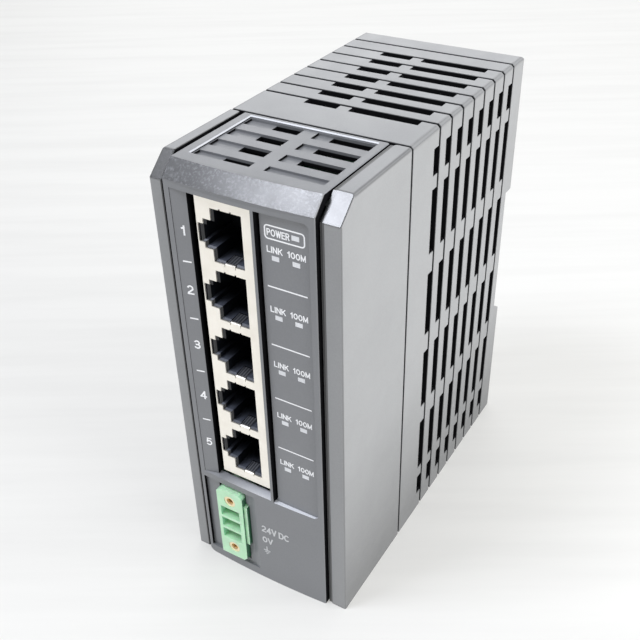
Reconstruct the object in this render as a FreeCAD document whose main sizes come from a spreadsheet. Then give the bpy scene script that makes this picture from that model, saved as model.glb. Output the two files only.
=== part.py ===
import FreeCAD, Part
import math
import os
import types

import Sketcher
from FreeCAD import Placement, Rotation, Vector

# DIN rail ethernet switch, in millimetres. +Z is up, -Y is the front with the sockets, and the
# origin is the middle of the base. The case is a front cover, a bowed front panel let into it
# and a vented rear housing that clips to a 35 mm rail.

document = FreeCAD.newDocument("ethernet_switch")

sizes = {
    # case
    "width": 43.6, "height": 108.5, "depth": 88.5, "coverDepth": 27.45, "shellGap": 0.8,
    "housingWall": 1.8, "coverWall": 2.0, "edgeRound": 0.9, "edgeBevel": 0.6, "coverRound": 0.6,
    "cheekRound": 0.35, "baseRound": 0.4, "cornerRound": 0.8, "tongueWall": 1.4, "tongueReach": 3.4,
    "tongueRoot": 3.0, "tongueGap": 0.1,
    # cheeks of the front cover beside the panel
    "cheekLeft": 3.1, "cheekRight": 3.68, "lipWidth": 0.95, "lipDrop": 0.3,
    "cheekChamferBack": 5.05, "cheekChamferDown": 4.36, "cheekInnerBack": 0.75,
    "cheekInnerDown": 0.9,
    # front panel
    "panelProud": 0.9, "panelBow": 0.6, "panelGapLeft": 0.95, "panelGapRight": 0.32,
    "panelChamfer": 3.3, "panelWall": 1.95, "panelTop": 1.85, "panelHeel": 1.8, "panelEase": 0.18,
    "railWidth": 1.6, "clipReach": 0.85, "clipThick": 1.25, "clipLow": 6.0, "clipDrop": 10.5,
    "windowLeft": 12.7, "windowRight": 3.1, "windowDrop": 4.9, "windowHeight": 75.0,
    "stripLeft": 16.2, "stripDrop": 0.75, "labelLeft": 3.8, "labelRight": 15.5, "labelDepth": 0.45,
    "labelCorner": 1.2, "labelSlot": 0.65, "pocketLeft": 16.7, "pocketFade": 1.6, "pocketRamp": 1.6,
    "pocketEnd": 0.45, "pocketDepth": 0.7, "pocketLow": 2.5, "pocketHigh": 26.9,
    "panelInnerEase": 0.8, "railJoin": 0.2, "labelBelow": 0.3,
    # grille in the top of the panel
    "fieldLeft": 15.4, "fieldRight": 15.1, "fieldBack": 0.9, "fieldLength": 21.2, "fieldDrop": 0.45,
    "fieldBevel": 0.25, "grillePitch": 6.0, "grilleSlot": 3.2, "grilleFront": 2.6,
    "grilleInset": 0.3, "grilleDrop": 0.5, "grilleEdgeLeft": 0.3, "grilleEdgeRight": 0.4,
    "grilleSpineLeft": 1.9, "grilleSpineRight": 1.4, "grilleOpenLeft": 8.6, "grilleOpenRight": 5.0,
    # vents of the rear housing
    "ventCount": 8, "ventPitch": 5.88, "ventFirst": 12.85, "ventSlot": 3.0, "grooveWidth": 0.9,
    "grooveDepth": 0.6, "ventRise": 0.4, "ventLong": 16.75, "ventNext": 15.7, "ventEnd": 6.2,
    "ventBridge": 5.1, "ventEndBridge": 3.15, "topSlotInner": 1.4, "topSlotOuter": 17.8,
    "topShortInner": 1.5, "topShortOuter": 9.6,
    # rail seat and latch
    "railDepth": 3.2, "railLow": 38.2, "railHeight": 35.2, "rampDrop": 2.2, "railSheet": 1.0,
    "railPlay": 0.25, "seatWall": 2.0, "backWall": 2.0, "hookHalf": 14.0, "hookLip": 1.6,
    "channelHalf": 8.0, "neckHalf": 5.6, "channelFloor": 4.0, "channelLip": 1.8,
    "channelHigh": 34.0, "latchGap": 0.2, "latchLow": 6.0, "tailLow": 3.6, "noseHigh": 1.7,
    "hookThick": 0.9, "hookEnd": 0.1, "hookTip": 0.4, "neckEase": 0.35, "seatFront": 0.5,
    "seatBack": 0.6, "latchPlay": 0.15, "neckJoin": 0.3, "noseRamp": 2.4, "noseFlat": 0.7,
    "seatClear": 0.4, "windowHalf": 2.6, "springSeat": 14.0, "seatThick": 2.0, "seatHalf": 2.2,
    "springRoom": 12.0, "springWire": 0.5, "springRadius": 1.35, "springTurns": 6.0,
    "springEase": 0.02, "pullHalf": 3.2, "pullSlot": 2.6,
    # five stacked sockets
    "portCount": 5, "portPitch": 13.97, "gangSetback": 0.0, "gangDepth": 18.0, "gangLeft": 11.2,
    "gangDrop": 5.5, "gangSpan": 72.6, "shieldSheet": 0.3, "portDrop": 7.7, "portWeb": 2.01,
    "portFloor": 0.1, "portReach": 7.5, "stepOne": 1.96, "stepOneIn": 2.69, "stepTwo": 1.32,
    "stepTwoIn": 1.19, "socketDepth": 13.5, "latchDepth": 9.0, "housingInset": 0.45,
    "housingBevel": 0.35, "gangWallGap": 0.55, "fingerLeft": 4.9, "fingerWidth": 2.4,
    "fingerReach": 3.3, "fingerRise": 0.5, "slitWidth": 0.16, "slitDrop": 0.55, "notchFirst": 5.4,
    "notchSecond": 2.8, "notchWidth": 0.42, "notchHigh": 0.28, "shieldRound": 0.28,
    "fingerRoot": 0.2, "gangEnd": 0.5, "reliefSide": 0.15, "reliefBelow": 0.3, "reliefAbove": 1.0,
    "reliefPast": 0.3, "sheetEase": 0.02, "contactPitch": 1.02, "contactWidth": 0.4,
    "contactSheet": 0.3, "contactFront": 3.2, "contactKnee": 1.0, "contactStep": 0.6,
    "contactRise": 2.6, "contactBack": 0.3, "contactCount": 8,
    # power header
    "headerLeft": 12.4, "headerWide": 7.5, "headerLow": 3.95, "headerTall": 22.15,
    "headerDeep": 9.6, "headerProud": 0.8, "headerStep": 0.9, "headerStepLow": 6.05,
    "headerStepHigh": 3.4, "headerStepBack": 0.5, "headerCorner": 1.0, "polePitch": 3.81,
    "poleCell": 3.1, "poleWide": 5.4, "poleDeep": 7.4, "insertEnd": 3.175, "insertRadius": 1.6,
    "insertBore": 0.95, "insertLength": 7.0, "insertSet": 0.15, "cutoutEase": 0.25, "pinWidth": 1.0,
    "poleInset": 0.9, "poleCount": 3, "stepJoin": 0.2, "tailHole": 0.5, "pinSet": 1.6,
    "tailBack": 1.2, "tailPitch": 2.4, "tailOut": 0.6, "tailEase": 0.1,
    # boards and what is on them
    "boardSheet": 1.6, "mainBoardLeft": 2.5, "boardGap": 0.4, "boardLow": 0.1, "boardTop": 4.2,
    "powerBoardTop": 66.0, "powerBoardLength": 66.0, "powerBoardNose": 27.5, "powerBoardStep": 17.5,
    "boardBack": 0.3, "ledBoardFront": 7.6, "ledBoardSheet": 1.0, "ledBoardWide": 10.6,
    "ledBoardLow": 34.0, "ledHeight": 0.7, "ledWide": 1.7, "ledTall": 1.05, "ledColumn": 7.6,
    "ledSpacing": 4.65, "ledDrop": 14.5, "ledPitch": 13.6, "powerLedRise": 5.6, "guideGap": 0.2,
    "guideWeb": 1.2, "guideEase": 0.05, "guideEnd": 2.0, "guideSide": 1.8, "guideRoot": 0.5,
    # components: how far each stands off its board, where it starts behind the sockets or the header,
    # its length, low edge, height and bevel
    "magneticsOff": 5.2, "magneticsBack": 1.5, "magneticsLong": 7.0, "magneticsGap": 1.57,
    "magneticsBevel": 0.5, "switchOff": 1.5, "switchBack": 18.0,
    "switchLong": 14.0, "switchLow": 4.0, "switchTall": 14.0, "switchBevel": 0.6, "crystalOff": 3.6,
    "crystalBack": 36.0, "crystalLong": 4.5, "crystalLow": 6.0, "crystalTall": 10.5,
    "crystalBevel": 1.6, "memoryOff": 1.5, "memoryBack": 20.0, "memoryLong": 5.0, "memoryLow": 24.0,
    "memoryTall": 5.0, "memoryBevel": 0.3, "transformerOff": 11.5, "transformerBack": 29.0,
    "transformerLong": 16.0, "transformerLow": 6.0, "transformerTall": 16.0,
    "transformerBevel": 1.2, "chokeOff": 6.0, "chokeBack": 9.5, "chokeLong": 5.5, "chokeLow": 22.5,
    "chokeTall": 6.5, "chokeBevel": 1.0, "fuseOff": 4.0, "fuseBack": 10.0, "fuseLong": 4.0,
    "fuseLow": 5.0, "fuseTall": 8.0, "fuseBevel": 0.4, "bridgeOff": 2.6, "bridgeBack": 48.0,
    "bridgeLong": 6.5, "bridgeLow": 8.0, "bridgeTall": 9.0, "bridgeBevel": 0.4, "regulatorOff": 2.3,
    "regulatorBack": 46.0, "regulatorLong": 6.5, "regulatorLow": 30.0, "regulatorTall": 6.5,
    "regulatorBevel": 0.4, "linkBack": 13.0, "linkLong": 5.0, "linkLow": 30.0, "linkHigh": 50.4,
    "outputRadius": 4.0, "outputLong": 11.0, "outputLow": -14.0, "outputBack": 24.0,
    "inputRadius": 5.0, "inputLong": 12.5, "inputLow": 14.5, "inputBack": 20.5, "canCrimp": 0.12,
    "canGroove": 0.35, "canRim": 0.3,
}


# A length that knows both its number and the expression that gives it from the sheet.
class Size:
    def __init__(self, value, text):
        self.value = value
        self.text = text

    def join(self, sign, other, value):
        return Size(value, "(%s %s %s)" % (self.text, sign, other.text))

    def __add__(self, other):
        other = lift(other)
        return self.join("+", other, self.value + other.value)

    def __sub__(self, other):
        other = lift(other)
        return self.join("-", other, self.value - other.value)

    def __mul__(self, other):
        other = lift(other)
        return self.join("*", other, self.value * other.value)

    def __truediv__(self, other):
        other = lift(other)
        return self.join("/", other, self.value / other.value)

    def __radd__(self, other):
        return lift(other) + self

    def __rsub__(self, other):
        return lift(other) - self

    def __rmul__(self, other):
        return lift(other) * self

    def __neg__(self):
        return lift(0) - self


def lift(number):
    return number if isinstance(number, Size) else Size(float(number), repr(float(number)))


sheet = document.addObject("Spreadsheet::Sheet", "sizes")
for row, (name, number) in enumerate(sizes.items(), 1):
    sheet.set("A%d" % row, name)
    sheet.set("B%d" % row, str(number))
    sheet.setAlias("B%d" % row, name)
document.recompute()
at = types.SimpleNamespace(**{name: Size(float(number), "sizes." + name) for name, number in sizes.items()})

nodes = []          # every finished piece, in the order it is made
planes = {"XY": "XY_Plane", "XZ": "XZ_Plane", "YZ": "YZ_Plane"}


def keep(piece, name):
    piece.Label = name
    nodes.append(piece)
    return piece


def newBody(name):
    return keep(document.addObject("PartDesign::Body", name + "_body"), name)


def originPart(body, role):
    return [part for part in body.Origin.OriginFeatures if part.Role == role][0]


# An empty sketch on a plane of the body, level millimetres along the plane's own axis.
def newSketch(body, plane, level):
    sketch = body.newObject("Sketcher::SketchObject", "sketch")
    sketch.AttachmentSupport = [(originPart(body, planes[plane]), "")]
    sketch.MapMode = "FlatFace"
    level = lift(level)
    along = -level if plane == "XZ" else level
    sketch.setExpression("AttachmentOffset.Base.z", along.text)
    return sketch


def pin(sketch, kind, edge, end, length):
    index = sketch.addConstraint(Sketcher.Constraint(kind, -1, 1, edge, end, length.value))
    sketch.setExpression("Constraints[%d]" % index, length.text)


# A closed outline of straight edges; each corner is held by its two distances from the origin.
def outline(sketch, corners):
    corners = [(lift(across), lift(up)) for across, up in corners]
    first = sketch.GeometryCount
    count = len(corners)
    for index, (across, up) in enumerate(corners):
        beyond = corners[(index + 1) % count]
        sketch.addGeometry(Part.LineSegment(Vector(across.value, up.value, 0),
                                            Vector(beyond[0].value, beyond[1].value, 0)))
    for index, (across, up) in enumerate(corners):
        edge = first + index
        sketch.addConstraint(Sketcher.Constraint("Coincident", edge, 2, first + (index + 1) % count, 1))
        pin(sketch, "DistanceX", edge, 1, across)
        pin(sketch, "DistanceY", edge, 1, up)


def rectangle(sketch, left, right, low, high):
    outline(sketch, [(left, low), (right, low), (right, high), (left, high)])


def circle(sketch, across, up, radius):
    across, up, radius = lift(across), lift(up), lift(radius)
    edge = sketch.addGeometry(Part.Circle(Vector(across.value, up.value, 0), Vector(0, 0, 1), radius.value))
    pin(sketch, "DistanceX", edge, 3, across)
    pin(sketch, "DistanceY", edge, 3, up)
    index = sketch.addConstraint(Sketcher.Constraint("Radius", edge, radius.value))
    sketch.setExpression("Constraints[%d]" % index, radius.text)


def alongNormal(plane, towards):
    return towards < 0 if plane == "XZ" else towards > 0


# Material added from start to end along the plane's axis.
def addBetween(body, plane, start, end, draw):
    start, end = lift(start), lift(end)
    sketch = newSketch(body, plane, start)
    draw(sketch)
    feature = body.newObject("PartDesign::Pad", "pad")
    feature.Profile = sketch
    towards = 1 if end.value > start.value else -1
    feature.setExpression("Length", (end - start if towards > 0 else start - end).text)
    feature.Reversed = not alongNormal(plane, towards)
    document.recompute()
    return feature


# Material taken away from start to end along the plane's axis.
def cutBetween(body, plane, start, end, draw):
    start, end = lift(start), lift(end)
    sketch = newSketch(body, plane, start)
    draw(sketch)
    feature = body.newObject("PartDesign::Pocket", "pocket")
    feature.Profile = sketch
    towards = 1 if end.value > start.value else -1
    feature.setExpression("Length", (end - start if towards > 0 else start - end).text)
    feature.Reversed = alongNormal(plane, towards)
    document.recompute()
    return feature


def repeat(body, feature, axis, pitch, count, backwards=False):
    pattern = body.newObject("PartDesign::LinearPattern", "pattern")
    pattern.Originals = [feature]
    pattern.Direction = (originPart(body, axis + "_Axis"), [""])
    pattern.Reversed = backwards
    pattern.Mode = "Spacing"
    pattern.setExpression("Offset", lift(pitch).text)
    pattern.setExpression("Occurrences", lift(count).text)
    body.Tip = pattern
    document.recompute()
    return pattern


# Names of the edges whose two ends and middle all pass the test.
def edgesWhere(feature, test):
    found = []
    for index, edge in enumerate(feature.Shape.Edges, 1):
        points = [vertex.Point for vertex in edge.Vertexes] + [edge.valueAt(
            (edge.FirstParameter + edge.LastParameter) / 2)]
        if all(test(point) for point in points):
            found.append("Edge%d" % index)
    return found


def soften(body, kind, feature, test, size):
    names = edgesWhere(feature, test)
    rounding = body.newObject("PartDesign::" + kind, kind.lower())
    rounding.Base = (feature, names)
    rounding.setExpression("Radius" if kind == "Fillet" else "Size", lift(size).text)
    document.recompute()
    return rounding


def near(number, size):
    return abs(number - lift(size).value) < 0.001


def block(name, left, right, front, back, low, high):
    box = document.addObject("Part::Box", name + "_box")
    left, front, low = lift(left), lift(front), lift(low)
    box.setExpression("Length", (lift(right) - left).text)
    box.setExpression("Width", (lift(back) - front).text)
    box.setExpression("Height", (lift(high) - low).text)
    box.setExpression("Placement.Base.x", left.text)
    box.setExpression("Placement.Base.y", front.text)
    box.setExpression("Placement.Base.z", low.text)
    return box


# Planes that several pieces share.
half = at.width / 2
rearY = (at.depth + at.panelProud + at.panelBow) / 2
cheekY = rearY - at.depth
edgeY = cheekY - at.panelProud
noseY = edgeY - at.panelBow
coverRearY = cheekY + at.coverDepth
housingY = coverRearY + at.shellGap
railY = rearY - at.railDepth
railHigh = at.railLow + at.railHeight
cavityY = railY - at.seatWall
panelLeft = at.cheekLeft - half + at.panelGapLeft
panelRight = half - at.cheekRight - at.lipWidth - at.panelGapRight
windowHigh = at.height - at.windowDrop
windowLow = windowHigh - at.windowHeight
labelY = edgeY + at.labelDepth
gangY = cheekY + at.gangSetback
portHigh = at.height - at.portDrop
at.portHeight = at.portPitch - at.portWeb
at.insertSpacing = at.headerTall - at.insertEnd * 2
at.headerStepTall = at.headerTall - at.headerStepLow - at.headerStepHigh
at.magneticsTall = at.portPitch - at.magneticsGap
at.magneticsLow = -at.magneticsTall / 2
boardFront = edgeY + at.panelWall + at.boardGap
boardLow = at.housingWall + at.tongueGap + at.tongueWall + at.boardLow
mainRight = at.mainBoardLeft + at.boardSheet
powerLeft = -at.headerLeft - at.boardSheet
powerRight = -at.headerLeft
beyond = lift(1.0)      # how far a cut runs past the face it opens
snug = lift(0.1)        # small overlap or clearance where two features share a face


# Rear housing: a box open at the front, ribbed by eight grooves with vent slots ahead of each.
def makeRearHousing():
    body = newBody("rear_housing")
    shell = addBetween(body, "XZ", rearY, housingY,
                       lambda sketch: rectangle(sketch, -half, half, 0, at.height))
    shell = soften(body, "Chamfer", shell, lambda p: near(abs(p.x), half) and near(p.z, at.height),
                   at.edgeBevel)
    shell = soften(body, "Fillet", shell, lambda p: near(p.y, rearY) and p.z > at.baseRound.value
                   and (near(abs(p.x), half) or near(p.z, at.height)), at.edgeRound)
    soften(body, "Fillet", shell, lambda p: near(p.z, 0) and not near(p.y, housingY), at.baseRound)
    inner = half - at.housingWall
    cutBetween(body, "XZ", housingY, cavityY, lambda sketch: rectangle(
        sketch, -inner, inner, at.housingWall, at.height - at.housingWall))

    def reliefs(sketch):
        rectangle(sketch, -inner, inner, railHigh + at.seatWall, at.height - at.housingWall)
        edge = at.channelHalf + at.seatWall
        high = at.railLow - at.rampDrop - at.seatWall
        rectangle(sketch, edge, inner, at.housingWall, high)
        rectangle(sketch, -inner, -edge, at.housingWall, high)
    cutBetween(body, "XZ", cavityY, rearY - at.backWall, reliefs)

    cutBetween(body, "YZ", half + beyond, -half - beyond, lambda sketch: outline(sketch, [
        (railY, at.railLow), (rearY, at.railLow - at.rampDrop),
        (rearY + beyond, at.railLow - at.rampDrop), (rearY + beyond, railHigh), (railY, railHigh)]))
    lipY = railY + at.railSheet + at.railPlay
    addBetween(body, "YZ", -at.hookHalf, at.hookHalf, lambda sketch: outline(sketch, [
        (lipY, railHigh + beyond), (lipY, railHigh - at.hookLip),
        (lipY + at.hookThick, railHigh - at.hookLip), (rearY - at.hookEnd, railHigh - at.hookTip),
        (rearY - at.hookEnd, railHigh + beyond)]))

    floorY = rearY - at.channelFloor
    lipFrontY = rearY - at.channelLip
    cutBetween(body, "XY", at.channelHigh, -beyond, lambda sketch: rectangle(
        sketch, -at.channelHalf, at.channelHalf, floorY, lipFrontY))
    cutBetween(body, "XY", at.railLow + beyond, -beyond, lambda sketch: rectangle(
        sketch, -at.neckHalf, at.neckHalf, lipFrontY - at.neckEase, rearY + beyond))
    addBetween(body, "XZ", floorY - at.seatFront, rearY - at.seatBack, lambda sketch: rectangle(
        sketch, -at.seatHalf, at.seatHalf, at.springSeat - at.seatThick, at.springSeat))

    grooveRear = housingY + at.ventFirst

    def ring(sketch):
        edge = half - at.grooveDepth
        outline(sketch, [(-half - beyond, -beyond), (-edge, -beyond), (-edge, at.height - at.grooveDepth),
                         (edge, at.height - at.grooveDepth), (edge, -beyond), (half + beyond, -beyond),
                         (half + beyond, at.height + beyond), (-half - beyond, at.height + beyond)])
    groove = cutBetween(body, "XZ", grooveRear - at.grooveWidth, grooveRear, ring)
    repeat(body, groove, "Y", at.ventPitch, at.ventCount)

    slotFront = grooveRear - at.ventSlot
    middle = at.height / 2 + at.ventRise
    spans = []
    low = at.ventBridge / 2
    for length, gap in ((at.ventLong, at.ventBridge), (at.ventNext, at.ventEndBridge),
                        (at.ventEnd, at.ventEnd)):
        spans.append((low, low + length))
        low = low + length + gap

    def sideSlots(sketch):
        for low, high in spans:
            rectangle(sketch, slotFront, grooveRear, middle + low, middle + high)
            rectangle(sketch, slotFront, grooveRear, middle - high, middle - low)
    slots = cutBetween(body, "YZ", half + beyond, -half - beyond, sideSlots)
    repeat(body, slots, "Y", at.ventPitch, at.ventCount)

    def topSlots(sketch):
        rectangle(sketch, at.topSlotInner, at.topSlotOuter, slotFront, grooveRear)
        rectangle(sketch, -at.topShortOuter, -at.topShortInner, slotFront, grooveRear)
    slots = cutBetween(body, "XY", at.height + beyond, -beyond, topSlots)
    repeat(body, slots, "Y", at.ventPitch, at.ventCount - 1)


# Front cover: the shell ahead of the gap line, with a cheek each side of the panel's opening.
def makeFrontCover():
    body = newBody("front_cover")
    shell = addBetween(body, "YZ", -half, half, lambda sketch: outline(sketch, [
        (cheekY, 0), (coverRearY, 0), (coverRearY, at.height), (cheekY + at.cheekChamferBack, at.height),
        (cheekY, at.height - at.cheekChamferDown)]))
    shell = soften(body, "Fillet", shell, lambda p: near(abs(p.x), half) and near(p.z, at.height),
                   at.coverRound)
    soften(body, "Fillet", shell, lambda p: near(abs(p.x), half) and p.y < (
        cheekY + at.cheekChamferBack).value - 0.1 and (near(p.y, cheekY) or p.z > 1), at.cheekRound)
    wall = at.coverWall
    cutBetween(body, "YZ", wall - half, half - wall, lambda sketch: outline(sketch, [
        (cheekY + wall, wall), (coverRearY + beyond, wall), (coverRearY + beyond, at.height - wall),
        (cheekY + at.cheekChamferBack + at.cheekInnerBack, at.height - wall),
        (cheekY + wall, at.height - at.cheekChamferDown - at.cheekInnerDown)]))
    openLeft = at.cheekLeft - half
    openRight = half - at.cheekRight - at.lipWidth
    cutBetween(body, "YZ", openLeft, openRight, lambda sketch: outline(sketch, [
        (cheekY - beyond, -beyond), (cheekY + wall, -beyond),
        (cheekY + wall, at.height - at.cheekChamferDown - at.cheekInnerDown),
        (cheekY + at.cheekChamferBack + at.cheekInnerBack, at.height - wall),
        (coverRearY + beyond, at.height - wall), (coverRearY + beyond, at.height + beyond),
        (cheekY - beyond, at.height + beyond)]))
    drop = at.lipDrop
    lip = cutBetween(body, "YZ", openRight, openRight + at.lipWidth, lambda sketch: outline(sketch, [
        (cheekY - beyond, -beyond), (cheekY + drop, -beyond),
        (cheekY + drop, at.height - at.cheekChamferDown - drop / 2),
        (cheekY + at.cheekChamferBack + drop / 2, at.height - drop),
        (coverRearY + beyond, at.height - drop), (coverRearY + beyond, at.height + beyond),
        (cheekY - beyond, at.height + beyond)]))
    soften(body, "Fillet", lip, lambda p: near(p.y, coverRearY) and p.z > (at.height - wall).value - 0.001
           and (near(p.x, openLeft) or near(p.x, openRight + at.lipWidth)), at.cornerRound)

    # The tongue that slides into the rear housing, all the way round.
    outer = half - at.housingWall - at.tongueGap
    inner = outer - at.tongueWall
    low = at.housingWall + at.tongueGap
    high = at.height - low

    def tongue(sketch):
        rectangle(sketch, -outer, outer, low, high)
        rectangle(sketch, -inner, inner, low + at.tongueWall, high - at.tongueWall)
    addBetween(body, "XZ", coverRearY - at.tongueRoot, coverRearY + at.tongueReach, tongue)


# Front panel: bowed in plan, chamfered to the top, with windows for the sockets, lights and header.
def makeFrontPanel():
    body = newBody("front_panel")
    sketch = newSketch(body, "XY", 0)
    corners = [(panelLeft, edgeY), (panelLeft, coverRearY), (panelRight, coverRearY), (panelRight, edgeY)]
    for start, end in zip(corners, corners[1:]):
        sketch.addGeometry(Part.LineSegment(Vector(start[0].value, start[1].value, 0),
                                            Vector(end[0].value, end[1].value, 0)))
    nose = Vector((panelLeft.value + panelRight.value) / 2, noseY.value, 0)
    bow = Part.Arc(Vector(panelLeft.value, edgeY.value, 0), nose,
                   Vector(panelRight.value, edgeY.value, 0))
    arc = sketch.addGeometry(bow)
    ends = {1: sketch.getPoint(arc, 1), 2: sketch.getPoint(arc, 2)}
    leftEnd = 1 if ends[1].x < ends[2].x else 2
    for edge in (0, 1):
        sketch.addConstraint(Sketcher.Constraint("Coincident", edge, 2, edge + 1, 1))
    sketch.addConstraint(Sketcher.Constraint("Coincident", arc, leftEnd, 0, 1))
    sketch.addConstraint(Sketcher.Constraint("Coincident", arc, 3 - leftEnd, 2, 2))
    for edge, corner in enumerate(corners[:3]):
        pin(sketch, "DistanceX", edge, 1, corner[0])
        pin(sketch, "DistanceY", edge, 1, corner[1])
    pin(sketch, "DistanceX", 2, 2, panelRight)
    pin(sketch, "DistanceY", 2, 2, edgeY)
    chord = panelRight - panelLeft
    radius = (chord * chord / 4 + at.panelBow * at.panelBow) / (at.panelBow * 2)
    index = sketch.addConstraint(Sketcher.Constraint("Radius", arc, radius.value))
    sketch.setExpression("Constraints[%d]" % index, radius.text)
    slab = body.newObject("PartDesign::Pad", "pad")
    slab.Profile = sketch
    slab.setExpression("Length", at.height.text)
    document.recompute()

    front = edgeY.value + 0.001
    slab = soften(body, "Chamfer", slab, lambda p: near(p.z, at.height) and p.y < front, at.panelChamfer)
    slab = soften(body, "Chamfer", slab, lambda p: (near(p.x, panelLeft) or near(p.x, panelRight))
                  and (p.y < front or p.z > (at.height - at.panelChamfer).value - 0.001), at.panelEase)
    soften(body, "Fillet", slab, lambda p: near(p.z, 0) and near(p.x, panelLeft), at.panelHeel)
    innerY = edgeY + at.panelWall
    ease = at.panelInnerEase
    cutBetween(body, "YZ", panelLeft - beyond, panelRight + beyond, lambda sketch: outline(sketch, [
        (innerY, -beyond), (coverRearY + beyond, -beyond), (coverRearY + beyond, at.height - at.panelTop),
        (innerY + at.panelChamfer + ease - at.panelTop, at.height - at.panelTop),
        (innerY, at.height - at.panelChamfer - ease)]))

    # A rail down each side carries the clip that hooks behind the cheek.
    clipBack = cheekY + at.coverWall + at.tongueGap + at.clipThick
    clipFront = clipBack - at.clipThick

    def rails(sketch):
        for side, edge, reach in ((1, panelLeft, panelLeft - at.panelGapLeft - at.clipReach),
                                  (-1, panelRight, panelRight + at.panelGapRight + at.clipReach)):
            inner = edge + side * at.railWidth
            outline(sketch, [(edge, innerY - at.railJoin), (inner, innerY - at.railJoin),
                             (inner, clipBack), (reach, clipBack),
                             (reach, clipFront), (edge, clipFront)])
    addBetween(body, "XY", at.clipLow, at.height - at.clipDrop, rails)

    ahead = noseY - beyond
    cutBetween(body, "XZ", ahead, innerY + beyond, lambda sketch: rectangle(
        sketch, -at.windowLeft, at.windowRight, windowLow, windowHigh))
    cutBetween(body, "XY", windowLow, windowHigh, lambda sketch: outline(sketch, [
        (-at.stripLeft, ahead), (snug - at.windowLeft, ahead), (snug - at.windowLeft, edgeY + at.stripDrop),
        (-at.stripLeft, edgeY)]))
    recess = cutBetween(body, "XZ", ahead, labelY, lambda sketch: rectangle(
        sketch, at.labelLeft, at.labelRight, windowLow - at.labelBelow, windowHigh))
    soften(body, "Fillet", recess, lambda p: near(p.x, at.labelRight) and p.y < labelY.value + 0.001
           and (near(p.z, windowLow - at.labelBelow) or near(p.z, windowHigh)), at.labelCorner)
    cutBetween(body, "XZ", ahead, innerY + beyond, lambda sketch: rectangle(
        sketch, at.labelLeft, at.labelLeft + at.labelSlot, windowLow - at.labelBelow, windowHigh))
    cutBetween(body, "XZ", ahead, innerY + beyond, ledWindows)
    cutBetween(body, "XY", at.pocketLow, at.pocketHigh, lambda sketch: outline(sketch, [
        (-at.pocketLeft, ahead), (-at.pocketFade, ahead), (-at.pocketFade, noseY),
        (-at.pocketFade - at.pocketRamp, noseY + at.pocketEnd), (-at.pocketLeft, edgeY + at.pocketDepth)]))
    cutBetween(body, "XZ", ahead, innerY + beyond, lambda sketch: headerOutline(sketch, at.cutoutEase))

    # Sunk grille: two columns of recesses, most of them open at their inner end.
    fieldBack = coverRearY - at.fieldBack
    fieldZ = at.height - at.fieldDrop
    field = cutBetween(body, "XY", at.height + beyond, fieldZ, lambda sketch: rectangle(
        sketch, -at.fieldLeft, at.fieldRight, fieldBack - at.fieldLength, fieldBack))
    fieldFront = (fieldBack - at.fieldLength).value
    soften(body, "Chamfer", field, lambda p: near(p.z, at.height) and (near(p.y, fieldBack) or (
        near(p.x, -at.fieldLeft) and p.y > fieldFront - 0.001)), at.fieldBevel)

    def row(index):
        back = fieldBack - at.grilleInset - index * at.grillePitch
        return back - (at.grilleFront if index == 3 else at.grilleSlot), back

    def recesses(sketch):
        for index in range(4):
            front, back = row(index)
            rectangle(sketch, at.grilleEdgeLeft - at.fieldLeft, -at.grilleSpineLeft, front, back)
            rectangle(sketch, at.grilleSpineRight, at.fieldRight - at.grilleEdgeRight, front, back)

    def openings(sketch):
        for index in range(4):
            front, back = row(index)
            rectangle(sketch, -at.grilleOpenLeft, -at.grilleSpineLeft, front, back)
            if index < 3:
                rectangle(sketch, at.grilleOpenRight, at.fieldRight - at.grilleEdgeRight, front, back)
    cutBetween(body, "XY", at.height, fieldZ - at.grilleDrop, recesses)
    cutBetween(body, "XY", at.height, at.height - at.panelTop - beyond, openings)


# The eleven light windows: one for power, then a pair for each socket.
def ledCentres():
    top = at.height - at.ledDrop
    centres = [(at.ledColumn + at.ledSpacing, top + at.powerLedRise)]
    for index in range(sizes["portCount"]):
        level = top - index * at.ledPitch
        centres += [(at.ledColumn, level), (at.ledColumn + at.ledSpacing, level)]
    return centres


def ledRectangles(sketch, ease):
    for across, level in ledCentres():
        rectangle(sketch, across - at.ledWide / 2 - ease, across + at.ledWide / 2 + ease,
                  level - at.ledTall / 2 - ease, level + at.ledTall / 2 + ease)


def ledWindows(sketch):
    ledRectangles(sketch, at.guideEase)


# Outline of the power header from the front: a block with a wider middle on its right side.
def headerOutline(sketch, ease):
    left = -at.headerLeft - ease
    right = at.headerWide - at.headerLeft + ease
    low = at.headerLow - ease
    high = at.headerLow + at.headerTall + ease
    stepLow = at.headerLow + at.headerStepLow - ease
    stepHigh = at.headerLow + at.headerStepLow + at.headerStepTall + ease
    outline(sketch, [(left, low), (right, low), (right, stepLow), (right + at.headerStep, stepLow),
                     (right + at.headerStep, stepHigh), (right, stepHigh), (right, high), (left, high)])


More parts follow.
